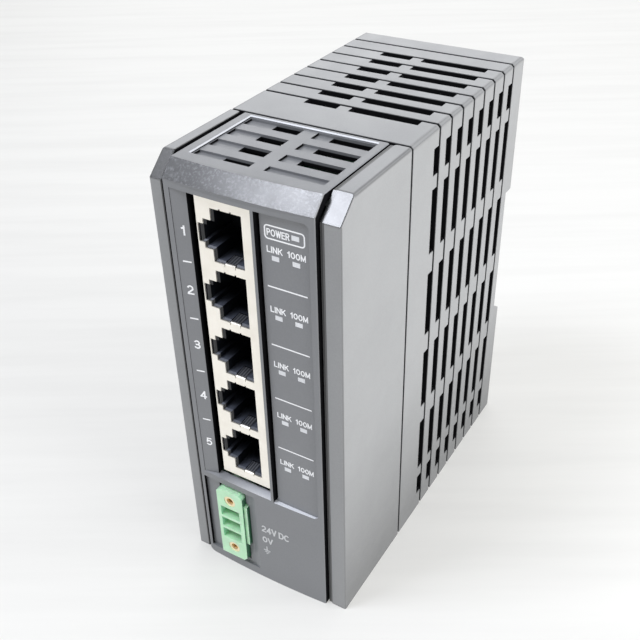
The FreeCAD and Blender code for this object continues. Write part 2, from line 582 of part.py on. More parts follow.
# Latch on the rail: a T-shaped slider with a ramped nose, a window for its spring and a pull slot.
def makeRailLatch():
    body = newBody("rail_latch")
    gap = at.latchGap
    floorY = rearY - at.channelFloor
    lipFrontY = rearY - at.channelLip
    plateBack = lipFrontY - at.latchPlay
    plateHalf = at.channelHalf - gap
    addBetween(body, "XY", at.latchLow, at.channelHigh - snug, lambda sketch: rectangle(
        sketch, -plateHalf, plateHalf, floorY + at.latchPlay, plateBack))
    neckHalf = at.neckHalf - gap
    noseTop = at.railLow + at.noseHigh
    backY = rearY - at.hookEnd
    noseFront = railY + at.railSheet + at.railPlay
    addBetween(body, "YZ", -neckHalf, neckHalf, lambda sketch: outline(sketch, [
        (plateBack - at.neckJoin, at.tailLow), (backY, at.tailLow), (backY, noseTop - at.noseRamp),
        (noseFront + at.noseFlat, noseTop), (noseFront, noseTop), (noseFront, at.channelHigh - snug),
        (plateBack - at.neckJoin, at.channelHigh - snug)]))
    windowLow = at.springSeat - at.seatThick - at.seatClear

    def windows(sketch):
        rectangle(sketch, -at.windowHalf, at.windowHalf, windowLow, at.springSeat + at.springRoom)
        rectangle(sketch, -at.pullHalf, at.pullHalf, at.latchLow, at.latchLow + at.pullSlot)
    cutBetween(body, "XZ", floorY - beyond, rearY + beyond, windows)


# Return spring of the latch, a six-sided wire wound about a vertical axis.
def makeLatchSpring():
    feature = document.addObject("Part::Feature", "latch_spring_coil")
    wire = sheet.get("springWire")
    ease = sheet.get("springEase")
    room = sheet.get("springRoom") - wire - 2 * ease
    helix = Part.makeHelix(room / sheet.get("springTurns"), room, sheet.get("springRadius"))
    start = helix.Vertexes[0].Point
    corners = [start + Vector(math.cos(step * math.pi / 3), 0, math.sin(step * math.pi / 3)) * (wire / 2)
               for step in range(6)]
    section = Part.makePolygon(corners + corners[:1])
    feature.Shape = Part.Wire(helix.Edges).makePipeShell([section], True, True)
    backY = (rearY - at.hookEnd).value
    frontY = rearY.value - at.channelFloor.value
    feature.Placement = Placement(
        Vector(0, (frontY + backY) / 2, at.springSeat.value + wire / 2 + ease), Rotation())
    keep(feature, "latch_spring")


# Corners of the top socket's opening, its latch steps on the left, eased outwards or inwards.
def socketCorners(ease, shallower):
    high = portHigh
    low = high - at.portHeight
    right = -at.portFloor + ease
    left = -at.portReach - ease
    stepOne = -at.portReach - at.stepOne - ease
    stepTwo = -at.portReach - at.stepOne - at.stepTwo - ease + shallower
    highOne = high - at.stepOneIn + ease
    lowOne = low + at.stepOneIn - ease
    highTwo = high - at.stepOneIn - at.stepTwoIn + ease
    lowTwo = low + at.stepOneIn + at.stepTwoIn - ease
    return [(left, low - ease), (right, low - ease), (right, high + ease), (left, high + ease),
            (left, highOne), (stepOne, highOne), (stepOne, highTwo), (stepTwo, highTwo),
            (stepTwo, lowTwo), (stepOne, lowTwo), (stepOne, lowOne), (left, lowOne)]


# Plated shield round the five sockets, folded from one sheet, with a sprung finger in each opening.
def makePortShield():
    body = newBody("port_shield")
    right = at.mainBoardLeft - snug / 2
    high = at.height - at.gangDrop
    low = high - at.gangSpan
    sheetThick = at.shieldSheet
    shell = addBetween(body, "XZ", gangY, gangY + at.gangDepth,
                       lambda sketch: rectangle(sketch, -at.gangLeft, right, low, high))
    soften(body, "Fillet", shell, lambda p: near(p.y, gangY), at.shieldRound)
    cutBetween(body, "XZ", gangY + at.gangDepth + beyond, gangY + sheetThick, lambda sketch: rectangle(
        sketch, sheetThick - at.gangLeft, right + beyond, low + sheetThick, high - sheetThick))
    opening = cutBetween(body, "XZ", gangY - beyond, gangY + sheetThick + snug,
                         lambda sketch: outline(sketch, socketCorners(lift(0), lift(0))))
    repeat(body, opening, "Z", at.portPitch, at.portCount, True)

    def notches(sketch):
        for left in (-at.notchFirst, -at.notchSecond):
            rectangle(sketch, left, left + at.notchWidth, portHigh - snug, portHigh + at.notchHigh)
    notch = cutBetween(body, "XZ", gangY - beyond, gangY + sheetThick + snug, notches)
    repeat(body, notch, "Z", at.portPitch, at.portCount, True)
    fingerRight = at.fingerWidth - at.fingerLeft
    floor = portHigh - at.portHeight

    def slits(sketch):
        for left in (-at.fingerLeft - at.slitWidth, fingerRight):
            rectangle(sketch, left, left + at.slitWidth, floor - at.slitDrop, floor + snug)
    slit = cutBetween(body, "XZ", gangY, gangY + sheetThick + snug, slits)
    repeat(body, slit, "Z", at.portPitch, at.portCount, True)
    finger = addBetween(body, "YZ", -at.fingerLeft, fingerRight, lambda sketch: outline(sketch, [
        (gangY, floor - snug), (gangY + sheetThick, floor - snug),
        (gangY + at.fingerReach, floor + at.fingerRise - sheetThick),
        (gangY + at.fingerReach, floor + at.fingerRise), (gangY + at.fingerRoot, floor + at.fingerRoot),
        (gangY, floor + snug)]))
    repeat(body, finger, "Z", at.portPitch, at.portCount, True)


# Moulded block behind the shield: five stepped sockets with bevelled mouths, each with a relief
# under the finger.
def makePortHousing():
    body = newBody("port_housing")
    sheetThick = at.shieldSheet + at.sheetEase
    high = at.height - at.gangDrop - sheetThick
    low = at.height - at.gangDrop - at.gangSpan + sheetThick
    left = at.shieldSheet - at.gangLeft + at.gangWallGap
    frontY = gangY + sheetThick
    addBetween(body, "XZ", frontY, gangY + at.gangDepth - at.gangEnd,
               lambda sketch: rectangle(sketch, left, at.mainBoardLeft - snug / 2, low, high))
    socket = cutBetween(body, "XZ", frontY, frontY + at.socketDepth, lambda sketch: rectangle(
        sketch, at.housingInset - at.portReach, -at.portFloor - at.housingInset,
        portHigh - at.portHeight + at.housingInset, portHigh - at.housingInset))
    repeat(body, socket, "Z", at.portPitch, at.portCount, True)
    step = cutBetween(body, "XZ", frontY, frontY + at.latchDepth,
                      lambda sketch: outline(sketch, socketCorners(-at.housingInset, at.gangWallGap)))
    repeat(body, step, "Z", at.portPitch, at.portCount, True)
    mouth = cutBetween(body, "XZ", frontY, frontY + at.housingBevel, lambda sketch: outline(
        sketch, socketCorners(at.housingBevel - at.housingInset, at.gangWallGap)))
    mouth.TaperAngle = -45
    document.recompute()
    repeat(body, mouth, "Z", at.portPitch, at.portCount, True)
    floor = portHigh - at.portHeight
    relief = cutBetween(body, "XZ", frontY, gangY + at.fingerReach + at.reliefPast,
                        lambda sketch: rectangle(sketch, -at.fingerLeft - at.reliefSide,
                                                 at.fingerWidth - at.fingerLeft + at.reliefSide,
                                                 floor - at.reliefBelow, floor + at.reliefAbove))
    repeat(body, relief, "Z", at.portPitch, at.portCount, True)


# Eight spring contacts in each socket, bent strips that rise from the right-hand wall.
def makePortContacts():
    feature = document.addObject("Part::Feature", "port_contact_strips")
    wall = -at.portFloor.value - at.housingInset.value
    frontY = (gangY + at.contactFront).value
    backY = (gangY + at.socketDepth - at.contactBack).value
    thick = at.contactSheet.value
    kneeY = frontY + at.contactKnee.value
    bend = wall - at.contactStep.value
    tip = wall - at.contactRise.value
    path = [(wall, frontY), (bend, kneeY), (tip, backY), (tip + thick, backY),
            (bend + thick, kneeY + thick / 2), (wall, frontY + thick * 1.5)]
    width = at.contactWidth.value
    middle = (sizes["contactCount"] - 1) / 2
    strips = []
    for port in range(sizes["portCount"]):
        centre = portHigh.value - at.portHeight.value / 2 - port * at.portPitch.value
        for index in range(sizes["contactCount"]):
            level = centre + (index - middle) * at.contactPitch.value - width / 2
            points = [Vector(across, back, level) for across, back in path]
            face = Part.Face(Part.makePolygon(points + points[:1]))
            strips.append(face.extrude(Vector(0, 0, width)))
    feature.Shape = Part.makeCompound(strips)
    keep(feature, "port_contacts")


# Green power header: three pin cells between two threaded flanges.
def makePowerHeader():
    body = newBody("power_header")
    frontY = noseY - at.headerProud
    backY = frontY + at.headerDeep
    left = -at.headerLeft
    right = at.headerWide - at.headerLeft
    low = at.headerLow
    high = at.headerLow + at.headerTall
    middle = low + at.headerTall / 2
    mass = addBetween(body, "XZ", frontY, backY, lambda sketch: rectangle(sketch, left, right, low, high))
    soften(body, "Chamfer", mass, lambda p: (near(p.x, left) and near(p.z, high))
           or (near(p.x, right) and (near(p.z, low) or near(p.z, high))), at.headerCorner)
    addBetween(body, "XZ", frontY + at.headerStepBack, backY, lambda sketch: rectangle(
        sketch, right - at.stepJoin, right + at.headerStep, low + at.headerStepLow,
        low + at.headerStepLow + at.headerStepTall))

    def cell(sketch):
        level = middle + at.polePitch
        rectangle(sketch, left + at.poleInset, left + at.poleInset + at.poleWide,
                  level - at.poleCell / 2, level + at.poleCell / 2)
    cells = cutBetween(body, "XZ", frontY - beyond, frontY + at.poleDeep, cell)
    repeat(body, cells, "Z", at.polePitch, at.poleCount, True)

    def insertHoles(sketch):
        for side in (-1, 1):
            circle(sketch, (left + right) / 2, middle + side * at.insertSpacing / 2, at.insertRadius)
    cutBetween(body, "XZ", frontY - beyond, frontY + at.insertSet + at.insertLength, insertHoles)
    # A slot for each pin's tail through the back of its cell.
    pinLeft = left + at.poleInset + at.poleWide / 2 - at.pinWidth / 2

    def pinHole(sketch):
        level = middle + at.polePitch
        rectangle(sketch, pinLeft, pinLeft + at.pinWidth, level - at.pinWidth / 2, level + at.pinWidth / 2)
    holes = cutBetween(body, "XZ", frontY + at.poleDeep - at.tailHole, backY + beyond, pinHole)
    repeat(body, holes, "Z", at.polePitch, at.poleCount, True)


# The two brass inserts that the plug's screws go into.
def makeHeaderInserts():
    middle = at.headerLow + at.headerTall / 2
    across = at.headerWide / 2 - at.headerLeft
    frontY = noseY - at.headerProud + at.insertSet
    bushes = []
    for side in (-1, 1):
        tube = []
        for radius in (at.insertRadius, at.insertBore):
            part = document.addObject("Part::Cylinder", "insert_part")
            part.setExpression("Radius", radius.text)
            part.setExpression("Height", at.insertLength.text)
            part.Placement = Placement(Vector(), Rotation(Vector(1, 0, 0), -90))
            part.setExpression("Placement.Base.x", across.text)
            part.setExpression("Placement.Base.y", frontY.text)
            part.setExpression("Placement.Base.z", (middle + side * at.insertSpacing / 2).text)
            tube.append(part)
        bush = document.addObject("Part::Cut", "insert_bush")
        bush.Base, bush.Tool = tube
        bushes.append(bush)
    pair = document.addObject("Part::Compound", "insert_pair")
    pair.Links = bushes
    keep(pair, "header_inserts")


# Height and front face of each pin's bent tail, lowest first.
def tailPlaces():
    middle = at.headerLow + at.headerTall / 2
    count = sizes["poleCount"]
    return [(middle + (index - (count - 1) / 2) * at.polePitch,
             noseY - at.headerProud + at.headerDeep + at.tailBack + index * at.tailPitch)
            for index in range(count)]


# Three pins, each a straight blade in its cell and a tail bent over to the power board.
def makeHeaderPins():
    left = at.poleInset - at.headerLeft + at.poleWide / 2 - at.pinWidth / 2
    pins = []
    for middle, tailY in tailPlaces():
        level = middle - at.pinWidth / 2
        top = level + at.pinWidth
        blade = block("pin_blade", left, left + at.pinWidth, noseY - at.headerProud + at.pinSet, tailY,
                      level, top)
        tail = block("pin_tail", powerLeft - at.tailOut, left + at.pinWidth, tailY,
                     tailY + at.pinWidth, level, top)
        bent = document.addObject("Part::Fuse", "pin_bent")
        bent.Base, bent.Tool = blade, tail
        bent.Refine = True
        pins.append(bent)
    row = document.addObject("Part::Compound", "pin_row")
    row.Links = pins
    keep(row, "header_pins")


# The upright boards. The power board has a slot that each pin's tail passes through.
def makeBoards():
    main = block("main_board", at.mainBoardLeft, mainRight, boardFront, cavityY - at.boardBack, boardLow,
                 at.height - at.boardTop)
    keep(main, "main_board")
    body = newBody("power_board")
    addBetween(body, "YZ", powerLeft, powerRight, lambda sketch: outline(sketch, [
        (boardFront, boardLow), (boardFront + at.powerBoardLength, boardLow),
        (boardFront + at.powerBoardLength, at.powerBoardTop),
        (boardFront + at.powerBoardStep, at.powerBoardTop),
        (boardFront + at.powerBoardStep, at.powerBoardNose), (boardFront, at.powerBoardNose)]))

    def pinHoles(sketch):
        for level, tailY in tailPlaces():
            rectangle(sketch, tailY - at.tailEase, tailY + at.pinWidth + at.tailEase,
                      level - at.pinWidth / 2 - at.tailEase, level + at.pinWidth / 2 + at.tailEase)
    cutBetween(body, "YZ", powerRight + beyond, powerLeft - beyond, pinHoles)
    ledY = edgeY + at.ledBoardFront
    keep(block("led_board", mainRight + snug, mainRight + snug + at.ledBoardWide, ledY,
               ledY + at.ledBoardSheet, at.ledBoardLow, at.height - at.windowDrop), "led_board")


# Eleven light-emitting diodes on the small board and the clear guide in front of them.
def makeLights():
    ledY = edgeY + at.ledBoardFront
    chips = [block("led_chip", across - at.ledWide / 2, across + at.ledWide / 2, ledY - at.ledHeight, ledY,
                   level - at.ledTall / 2, level + at.ledTall / 2) for across, level in ledCentres()]
    group = document.addObject("Part::Compound", "led_chips")
    group.Links = chips
    keep(group, "status_leds")
    body = newBody("light_guide")
    webBack = ledY - at.ledHeight - at.guideGap
    top = at.height - at.ledDrop + at.powerLedRise + at.guideEnd
    low = at.height - at.ledDrop - (at.portCount - 1) * at.ledPitch - at.guideEnd
    addBetween(body, "XZ", webBack - at.guideWeb, webBack, lambda sketch: rectangle(
        sketch, at.ledColumn - at.guideSide, at.ledColumn + at.ledSpacing + at.guideSide, low, top))
    addBetween(body, "XZ", webBack - at.guideRoot, labelY, lambda sketch: ledRectangles(sketch, lift(0)))


# A moulded package on the face of a board, side 1 towards +X, with the sizes that start with its
# key; its corners are chamfered as such packages are.
def chip(name, key, face, side, start, base):
    off, back, long, low, tall, bevel = [getattr(at, key + size) for size in (
        "Off", "Back", "Long", "Low", "Tall", "Bevel")]
    left, right = (face, face + off) if side > 0 else (face - off, face)
    box = block(name, left, right, start + back, start + back + long, base + low, base + low + tall)
    document.recompute()
    shaped = document.addObject("Part::Chamfer", name + "_chamfer")
    shaped.Base = box
    shaped.Edges = [(index, bevel.value, bevel.value) for index, edge in enumerate(box.Shape.Edges, 1)
                    if not near(edge.Vertexes[0].X, edge.Vertexes[1].X)]
    keep(shaped, name)


# A can capacitor: a turned profile with its crimp, standing off a board along X.
def can(name, key, face, side, start, base):
    radius, length, low, back = [getattr(at, key + size) for size in ("Radius", "Long", "Low", "Back")]
    body = newBody(name)
    sketch = newSketch(body, "XY", 0)
    crimp = length * at.canCrimp
    groove = at.canGroove
    outline(sketch, [(0, 0), (radius, 0), (radius, crimp), (radius - groove, crimp + groove),
                     (radius, crimp + groove * 2), (radius, length - at.canRim),
                     (radius - at.canRim, length), (0, length)])
    turned = body.newObject("PartDesign::Revolution", "turned")
    turned.Profile = sketch
    turned.ReferenceAxis = (originPart(body, "Y_Axis"), [""])
    turned.Angle = 360
    body.Placement = Placement(Vector(), Rotation(Vector(0, 0, 1), -90 * side))
    body.setExpression("Placement.Base.x", face.text)
    body.setExpression("Placement.Base.y", (start + back).text)
    body.setExpression("Placement.Base.z", (base + low).text)


# Components, each seated on the face of its board.
def makeComponents():
    face = at.mainBoardLeft
    behindGang = gangY + at.gangDepth
    for index in range(sizes["portCount"]):
        level = portHigh - at.portHeight / 2 - index * at.portPitch
        chip("magnetics_%d" % (index + 1), "magnetics", face, -1, behindGang, level)
    middle = at.height / 2
    chip("switch_chip", "switch", face, -1, behindGang, middle)
    chip("crystal", "crystal", face, -1, behindGang, middle)
    chip("memory_chip", "memory", face, -1, behindGang, middle)
    can("output_capacitor", "output", face, -1, behindGang, middle)
    linkY = behindGang + at.linkBack
    keep(block("board_link", powerRight, face, linkY, linkY + at.linkLong, at.linkLow, at.linkHigh),
         "board_link")
    behindHeader = noseY - at.headerProud + at.headerDeep
    can("input_capacitor", "input", powerRight, 1, behindHeader, lift(0))
    for name, key in (("transformer", "transformer"), ("choke", "choke"), ("fuse", "fuse"),
                      ("diode_bridge", "bridge"), ("regulator", "regulator")):
        chip(name, key, powerRight, 1, behindHeader, lift(0))


makeFrontCover()
makeFrontPanel()
makeRearHousing()
makeRailLatch()
makeLatchSpring()
makePortShield()
makePortHousing()
makePortContacts()
makePowerHeader()
makeHeaderInserts()
makeHeaderPins()
makeBoards()
makeLights()
makeComponents()
document.recompute()

# Every feature has to be sound, and each pocket has to have taken something away.
for thing in document.Objects:
    if "Invalid" in thing.State or "Error" in thing.State:
        raise RuntimeError("feature failed: " + thing.Name + " " + str(thing.State))
    if thing.TypeId == "PartDesign::Pocket":
        before = thing.BaseFeature.Shape.Volume
        if before - thing.Shape.Volume < 0.001:
            raise RuntimeError("pocket cut nothing: " + thing.Name)
for piece in nodes:
    if piece.Shape.isNull() or not piece.Shape.isValid():
        raise RuntimeError("bad shape: " + piece.Label)

os.makedirs("parts", exist_ok=True)
for piece in nodes:
    piece.Shape.exportStep(os.path.join("parts", piece.Label + ".step"))
    print(piece.Label, len(piece.Shape.Solids), round(piece.Shape.Volume, 1))
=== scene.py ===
import math

import bmesh
import bpy
import numpy as np
from mathutils import Matrix, Vector


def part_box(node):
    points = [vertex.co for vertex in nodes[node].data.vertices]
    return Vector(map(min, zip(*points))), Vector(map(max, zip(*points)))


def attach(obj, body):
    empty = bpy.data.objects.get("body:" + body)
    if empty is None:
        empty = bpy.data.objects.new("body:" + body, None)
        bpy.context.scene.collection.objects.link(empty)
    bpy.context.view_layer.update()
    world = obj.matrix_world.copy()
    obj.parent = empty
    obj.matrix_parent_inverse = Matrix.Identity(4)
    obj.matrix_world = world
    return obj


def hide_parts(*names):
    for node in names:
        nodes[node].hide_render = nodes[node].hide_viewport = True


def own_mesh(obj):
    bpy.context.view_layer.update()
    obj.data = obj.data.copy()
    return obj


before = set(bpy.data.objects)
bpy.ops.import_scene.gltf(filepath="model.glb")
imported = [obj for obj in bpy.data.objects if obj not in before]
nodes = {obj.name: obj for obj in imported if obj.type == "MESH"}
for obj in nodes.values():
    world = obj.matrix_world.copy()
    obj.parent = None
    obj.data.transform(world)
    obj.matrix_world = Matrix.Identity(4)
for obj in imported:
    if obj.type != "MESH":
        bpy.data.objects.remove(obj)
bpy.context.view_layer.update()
mm = 0.001  # lengths in the dictionaries are in millimetres
mostNoise = (0.3, 0.7)  # most of a noise texture's values lie in this span
midNoise = (0.35, 0.65)
ports = 5
print("frame loaded:", len(nodes), "nodes")


# Materials, each built from noise on Object coordinates.

def newMaterial(name):
    material = bpy.data.materials.new(name)
    material.use_nodes = True
    tree = material.node_tree
    shader = [node for node in tree.nodes if node.type == "BSDF_PRINCIPLED"][0]
    return material, tree, shader


# Each input may be a socket to link or a constant.
def addNode(tree, kind, settings=None, inputs=None):
    node = tree.nodes.new(kind)
    for key, value in (settings or {}).items():
        setattr(node, key, value)
    for key, value in (inputs or {}).items():
        setInput(tree, node, key, value)
    return node


def setInput(tree, node, key, value):
    if isinstance(value, bpy.types.NodeSocket):
        tree.links.new(value, node.inputs[key])
    else:
        node.inputs[key].default_value = value


shaderInputs = {"colour": "Base Color", "rough": "Roughness", "metallic": "Metallic",
                "specular": "Specular IOR Level"}


def setShader(tree, shader, **values):
    for key, value in values.items():
        setInput(tree, shader, shaderInputs[key], value)


def objectPlace(tree):
    return addNode(tree, "ShaderNodeTexCoord").outputs["Object"]


def trueNormal(tree):
    return addNode(tree, "ShaderNodeNewGeometry").outputs["True Normal"]


# The x, y and z parts of a vector.
def partsOf(tree, vector):
    return addNode(tree, "ShaderNodeSeparateXYZ", inputs={0: vector}).outputs


# The place scaled along each axis, so that a pattern on it is drawn out where the scale is small.
def stretched(tree, place, scale):
    return addNode(tree, "ShaderNodeMapping", inputs={"Vector": place, "Scale": scale}).outputs["Vector"]


def noiseOf(tree, place, grainMm, detail=3.0, roughness=0.55):
    return addNode(tree, "ShaderNodeTexNoise", inputs={
        "Vector": place, "Scale": 1000.0 / grainMm, "Detail": detail,
        "Roughness": roughness}).outputs["Fac"]


# A colour that runs from the low one to the high one as the factor goes through the span.
def rampOf(tree, factor, span, low, high):
    ramp = addNode(tree, "ShaderNodeValToRGB", inputs={"Fac": factor})
    for element, position, colour in zip(ramp.color_ramp.elements, span, (low, high)):
        element.position = position
        element.color = (*colour, 1.0)
    return ramp.outputs["Color"]


def rangeOf(tree, value, fromLow, fromHigh, toLow, toHigh):
    return addNode(tree, "ShaderNodeMapRange", inputs={
        "Value": value, "From Min": fromLow, "From Max": fromHigh,
        "To Min": toLow, "To Max": toHigh}).outputs["Result"]


def rise(tree, value, low, high):
    return rangeOf(tree, value, low, high, 0.0, 1.0)


def drop(tree, value, low, high):
    return rangeOf(tree, value, low, high, 1.0, 0.0)


# 1 where the mask is 0, and the tone where it is 1.
def toned(tree, mask, tone):
    return rangeOf(tree, mask, 0.0, 1.0, 1.0, tone)


def mathOf(tree, operation, first, second=0.0):
    return addNode(tree, "ShaderNodeMath", {"operation": operation}, {0: first, 1: second}).outputs[0]


def multiplied(tree, first, *others):
    for other in others:
        first = mathOf(tree, "MULTIPLY", first, other)
    return first


def inverted(tree, value):
    return mathOf(tree, "SUBTRACT", 1.0, value)


# In this node the colours are the inputs 6 and 7, and the result is the output 2.
def mixOf(tree, factor, first, second, blend="MIX"):
    mix = addNode(tree, "ShaderNodeMix", {"data_type": "RGBA", "blend_type": blend})
    for key, value in ((0, factor), (6, first), (7, second)):
        setInput(tree, mix, key, (*value, 1.0) if isinstance(value, tuple) else value)
    return mix.outputs[2]


def bumpOf(tree, shader, height, strength, distanceMm):
    bump = addNode(tree, "ShaderNodeBump", inputs={
        "Height": height, "Strength": strength, "Distance": distanceMm * mm})
    tree.links.new(bump.outputs["Normal"], shader.inputs["Normal"])


def shade(colour, factor):
    return tuple(min(1.0, channel * factor) for channel in colour)


# How squarely a face looks along one axis, from 0 to 1 either way, or only towards its positive end.
def facing(tree, axis, sharp=(0.8, 0.93), bothWays=True):
    part = partsOf(tree, trueNormal(tree))[axis]
    if bothWays:
        part = mathOf(tree, "ABSOLUTE", part)
    return rise(tree, part, *sharp)


# 1 between two levels, fading over a short way outside them.
def bandOf(tree, value, low, high, softMm=0.04):
    return multiplied(tree, rise(tree, value, (low - softMm) * mm, low * mm),
                      drop(tree, value, high * mm, (high + softMm) * mm))


# Depth of a point below the object's skin, and its distance from the nearest edge, in metres. The skin is
# a list of planes (outward normal, offset): a point's depth under one is offset - normal . point. The
# least of these is the depth, and the next least is how far away the nearest edge is.
def skinDepth(tree, place, planes):
    depth, edge = 1.0, 1.0
    for normal, offset in planes:
        along = addNode(tree, "ShaderNodeVectorMath", {"operation": "DOT_PRODUCT"},
                        {0: place, 1: normal}).outputs["Value"]
        under = mathOf(tree, "SUBTRACT", offset, along)
        edge = mathOf(tree, "MINIMUM", edge, mathOf(tree, "MAXIMUM", depth, under))
        depth = mathOf(tree, "MINIMUM", depth, under)
    return depth, edge


# The plane through a bevel between two faces, given how much it takes off each.
def bevelPlane(firstNormal, firstOffset, secondNormal, secondOffset, first, second):
    tilt = Vector(firstNormal) / first + Vector(secondNormal) / second
    offset = firstOffset / first + secondOffset / second - 1.0
    return tuple(tilt / tilt.length), offset / tilt.length


# wallLimit: walls that face sideways are painted dark with shade inside this distance from the middle.
# openFrom: behind this the shell is open to the light and gets no painted shade. floorLevel: the grille's
# recesses end here, and below this level, behind the grille's front, painted shade darkens the panel.
# sillLevel: height of the ledges under the windows, which carry a painted highlight.
# strips: (from, to, tone) across x, each a band of painted shade.
# chamferDeep: the chamfer's finish isn't cut off where the grille begins.
plastics = {
    "cover": {
        "colour": (0.275, 0.279, 0.285), "inside": 0.012, "grain": 0.35, "bump": 0.12, "rough": 0.42,
        "specular": 0.85, "darkFrom": 0.9, "darkTo": 1.4, "wallLimit": 21.6, "paintedEdgeShade": 0.5,
        "edgeFrom": 0.06, "edgeTo": 0.32, "chamferTone": 0.26, "chamferPolish": 0.22,
        "chamferDeep": True, "glint": 0.25, "paintedRimHighlight": 1.0,
        "strips": ((-19.0, -18.6, 0.04), (17.1, 17.42, 0.3), (17.42, 17.56, 0.1),
                   (17.56, 17.96, 0.42), (17.96, 18.16, 0.06))},
    "housing": {
        "colour": (0.29, 0.294, 0.3), "inside": 0.008, "grain": 0.35, "bump": 0.12, "rough": 0.42,
        "specular": 0.7, "darkFrom": 0.06, "darkTo": 0.22, "wallLimit": 21.6, "openFrom": 39.9,
        "paintedEdgeShade": 0.75, "edgeFrom": 0.06, "edgeTo": 0.4, "chamferTone": 1.0, "chamferPolish": 0.0,
        "chamferDeep": False, "glint": 0.0, "paintedRimHighlight": 1.0, "strips": ()},
    "panel": {
        "colour": (0.19, 0.195, 0.207), "inside": 0.006, "grain": 0.3, "bump": 0.34, "rough": 0.36,
        "specular": 0.85, "darkFrom": 2.6, "darkTo": 3.2, "wallLimit": 40.0, "floorLevel": 107.5,
        "sillLevel": 28.45, "paintedEdgeShade": 0.85, "edgeFrom": 0.05, "edgeTo": 0.25, "chamferTone": 0.5,
        "chamferPolish": 0.1, "chamferDeep": False, "glint": 0.9, "paintedRimHighlight": 3.2,
        "strips": ((-17.8, -17.62, 0.05),)},
}
# What the three have in common.
moulding = {
    "patchSize": 26.0, "patchLow": 0.96, "patchHigh": 1.04, "speck": 0.93, "insideBlue": 1.15,
    "smudgeSize": 11.0, "roughLess": 0.04, "roughMore": 0.05, "darkRough": 0.9, "darkSpecular": 0.04,
    "bumpDepth": 0.05, "wallSoft": 0.05, "openSoft": 0.1, "floorSoft": 0.12, "grilleFrom": -41.0,
    "grilleTo": -40.8, "chamferTo": -40.6, "chamferEnd": -40.4, "glintSize": 0.5, "glintDim": 0.25,
    "rimFrom": 16.0, "rimTo": 16.1, "rimRight": 0.15, "glintSpan": (0.5, 0.72),
}
# Spans of a face's true normal: slopes lie between steep and nearly level, the chamfer leans forward, and
# the ledges are level.
leans = {"steep": (0.5, 0.6), "nearLevel": (0.86, 0.92), "forward": (-0.5, -0.6), "level": (0.9, 0.95)}
# Painted shade: the sides darken towards the base, where the floor's shade falls on them.
paintedBaseShade = {"from": 4.0, "to": 46.0, "tone": 0.5}
# Painted highlight: the ledges under the windows are smooth, and are lightened as if catching the light,
# more to the right.
ledges = {"high": 0.3, "left": -11.0, "right": 4.0, "leftTone": 1.7, "rightTone": 4.2}


# Painted shade: slot walls, gap walls and everything below the skin are darkened towards near black.
def paintedShadePlaces(tree, settings, depth, squarely, place):
    across, along, level = place
    deep = rise(tree, depth, settings["darkFrom"] * mm, settings["darkTo"] * mm)
    limit = settings["wallLimit"]
    within = drop(tree, mathOf(tree, "ABSOLUTE", across), (limit - moulding["wallSoft"]) * mm, limit * mm)
    dark = mathOf(tree, "MAXIMUM", deep, multiplied(tree, squarely, within))
    if "openFrom" in settings:
        back = settings["openFrom"]
        dark = multiplied(tree, dark, drop(tree, along, (back - moulding["openSoft"]) * mm, back * mm))
    if "floorLevel" in settings:
        floor = settings["floorLevel"]
        below = drop(tree, level, (floor - moulding["floorSoft"]) * mm, floor * mm)
        behind = rise(tree, along, moulding["grilleFrom"] * mm, moulding["grilleTo"] * mm)
        dark = mathOf(tree, "MAXIMUM", dark, multiplied(tree, below, behind))
    return dark


# Where the chamfer at the top's front lies, and the other upward slopes, which carry a painted highlight.
def slopes(tree, settings, lean, place):
    across, along = place[0], place[1]
    sloped = multiplied(tree, rise(tree, lean[2], *leans["steep"]),
                        drop(tree, lean[2], *leans["nearLevel"]))
    chamfer = multiplied(tree, sloped, rise(tree, lean[1], *leans["forward"]))
    if not settings["chamferDeep"]:
        chamfer = multiplied(tree, chamfer, drop(tree, along, moulding["chamferTo"] * mm,
                                                 moulding["chamferEnd"] * mm))
    rightward = rangeOf(tree, across, moulding["rimFrom"] * mm, moulding["rimTo"] * mm,
                        1.0, moulding["rimRight"])
    return chamfer, multiplied(tree, sloped, inverted(tree, chamfer), rightward)
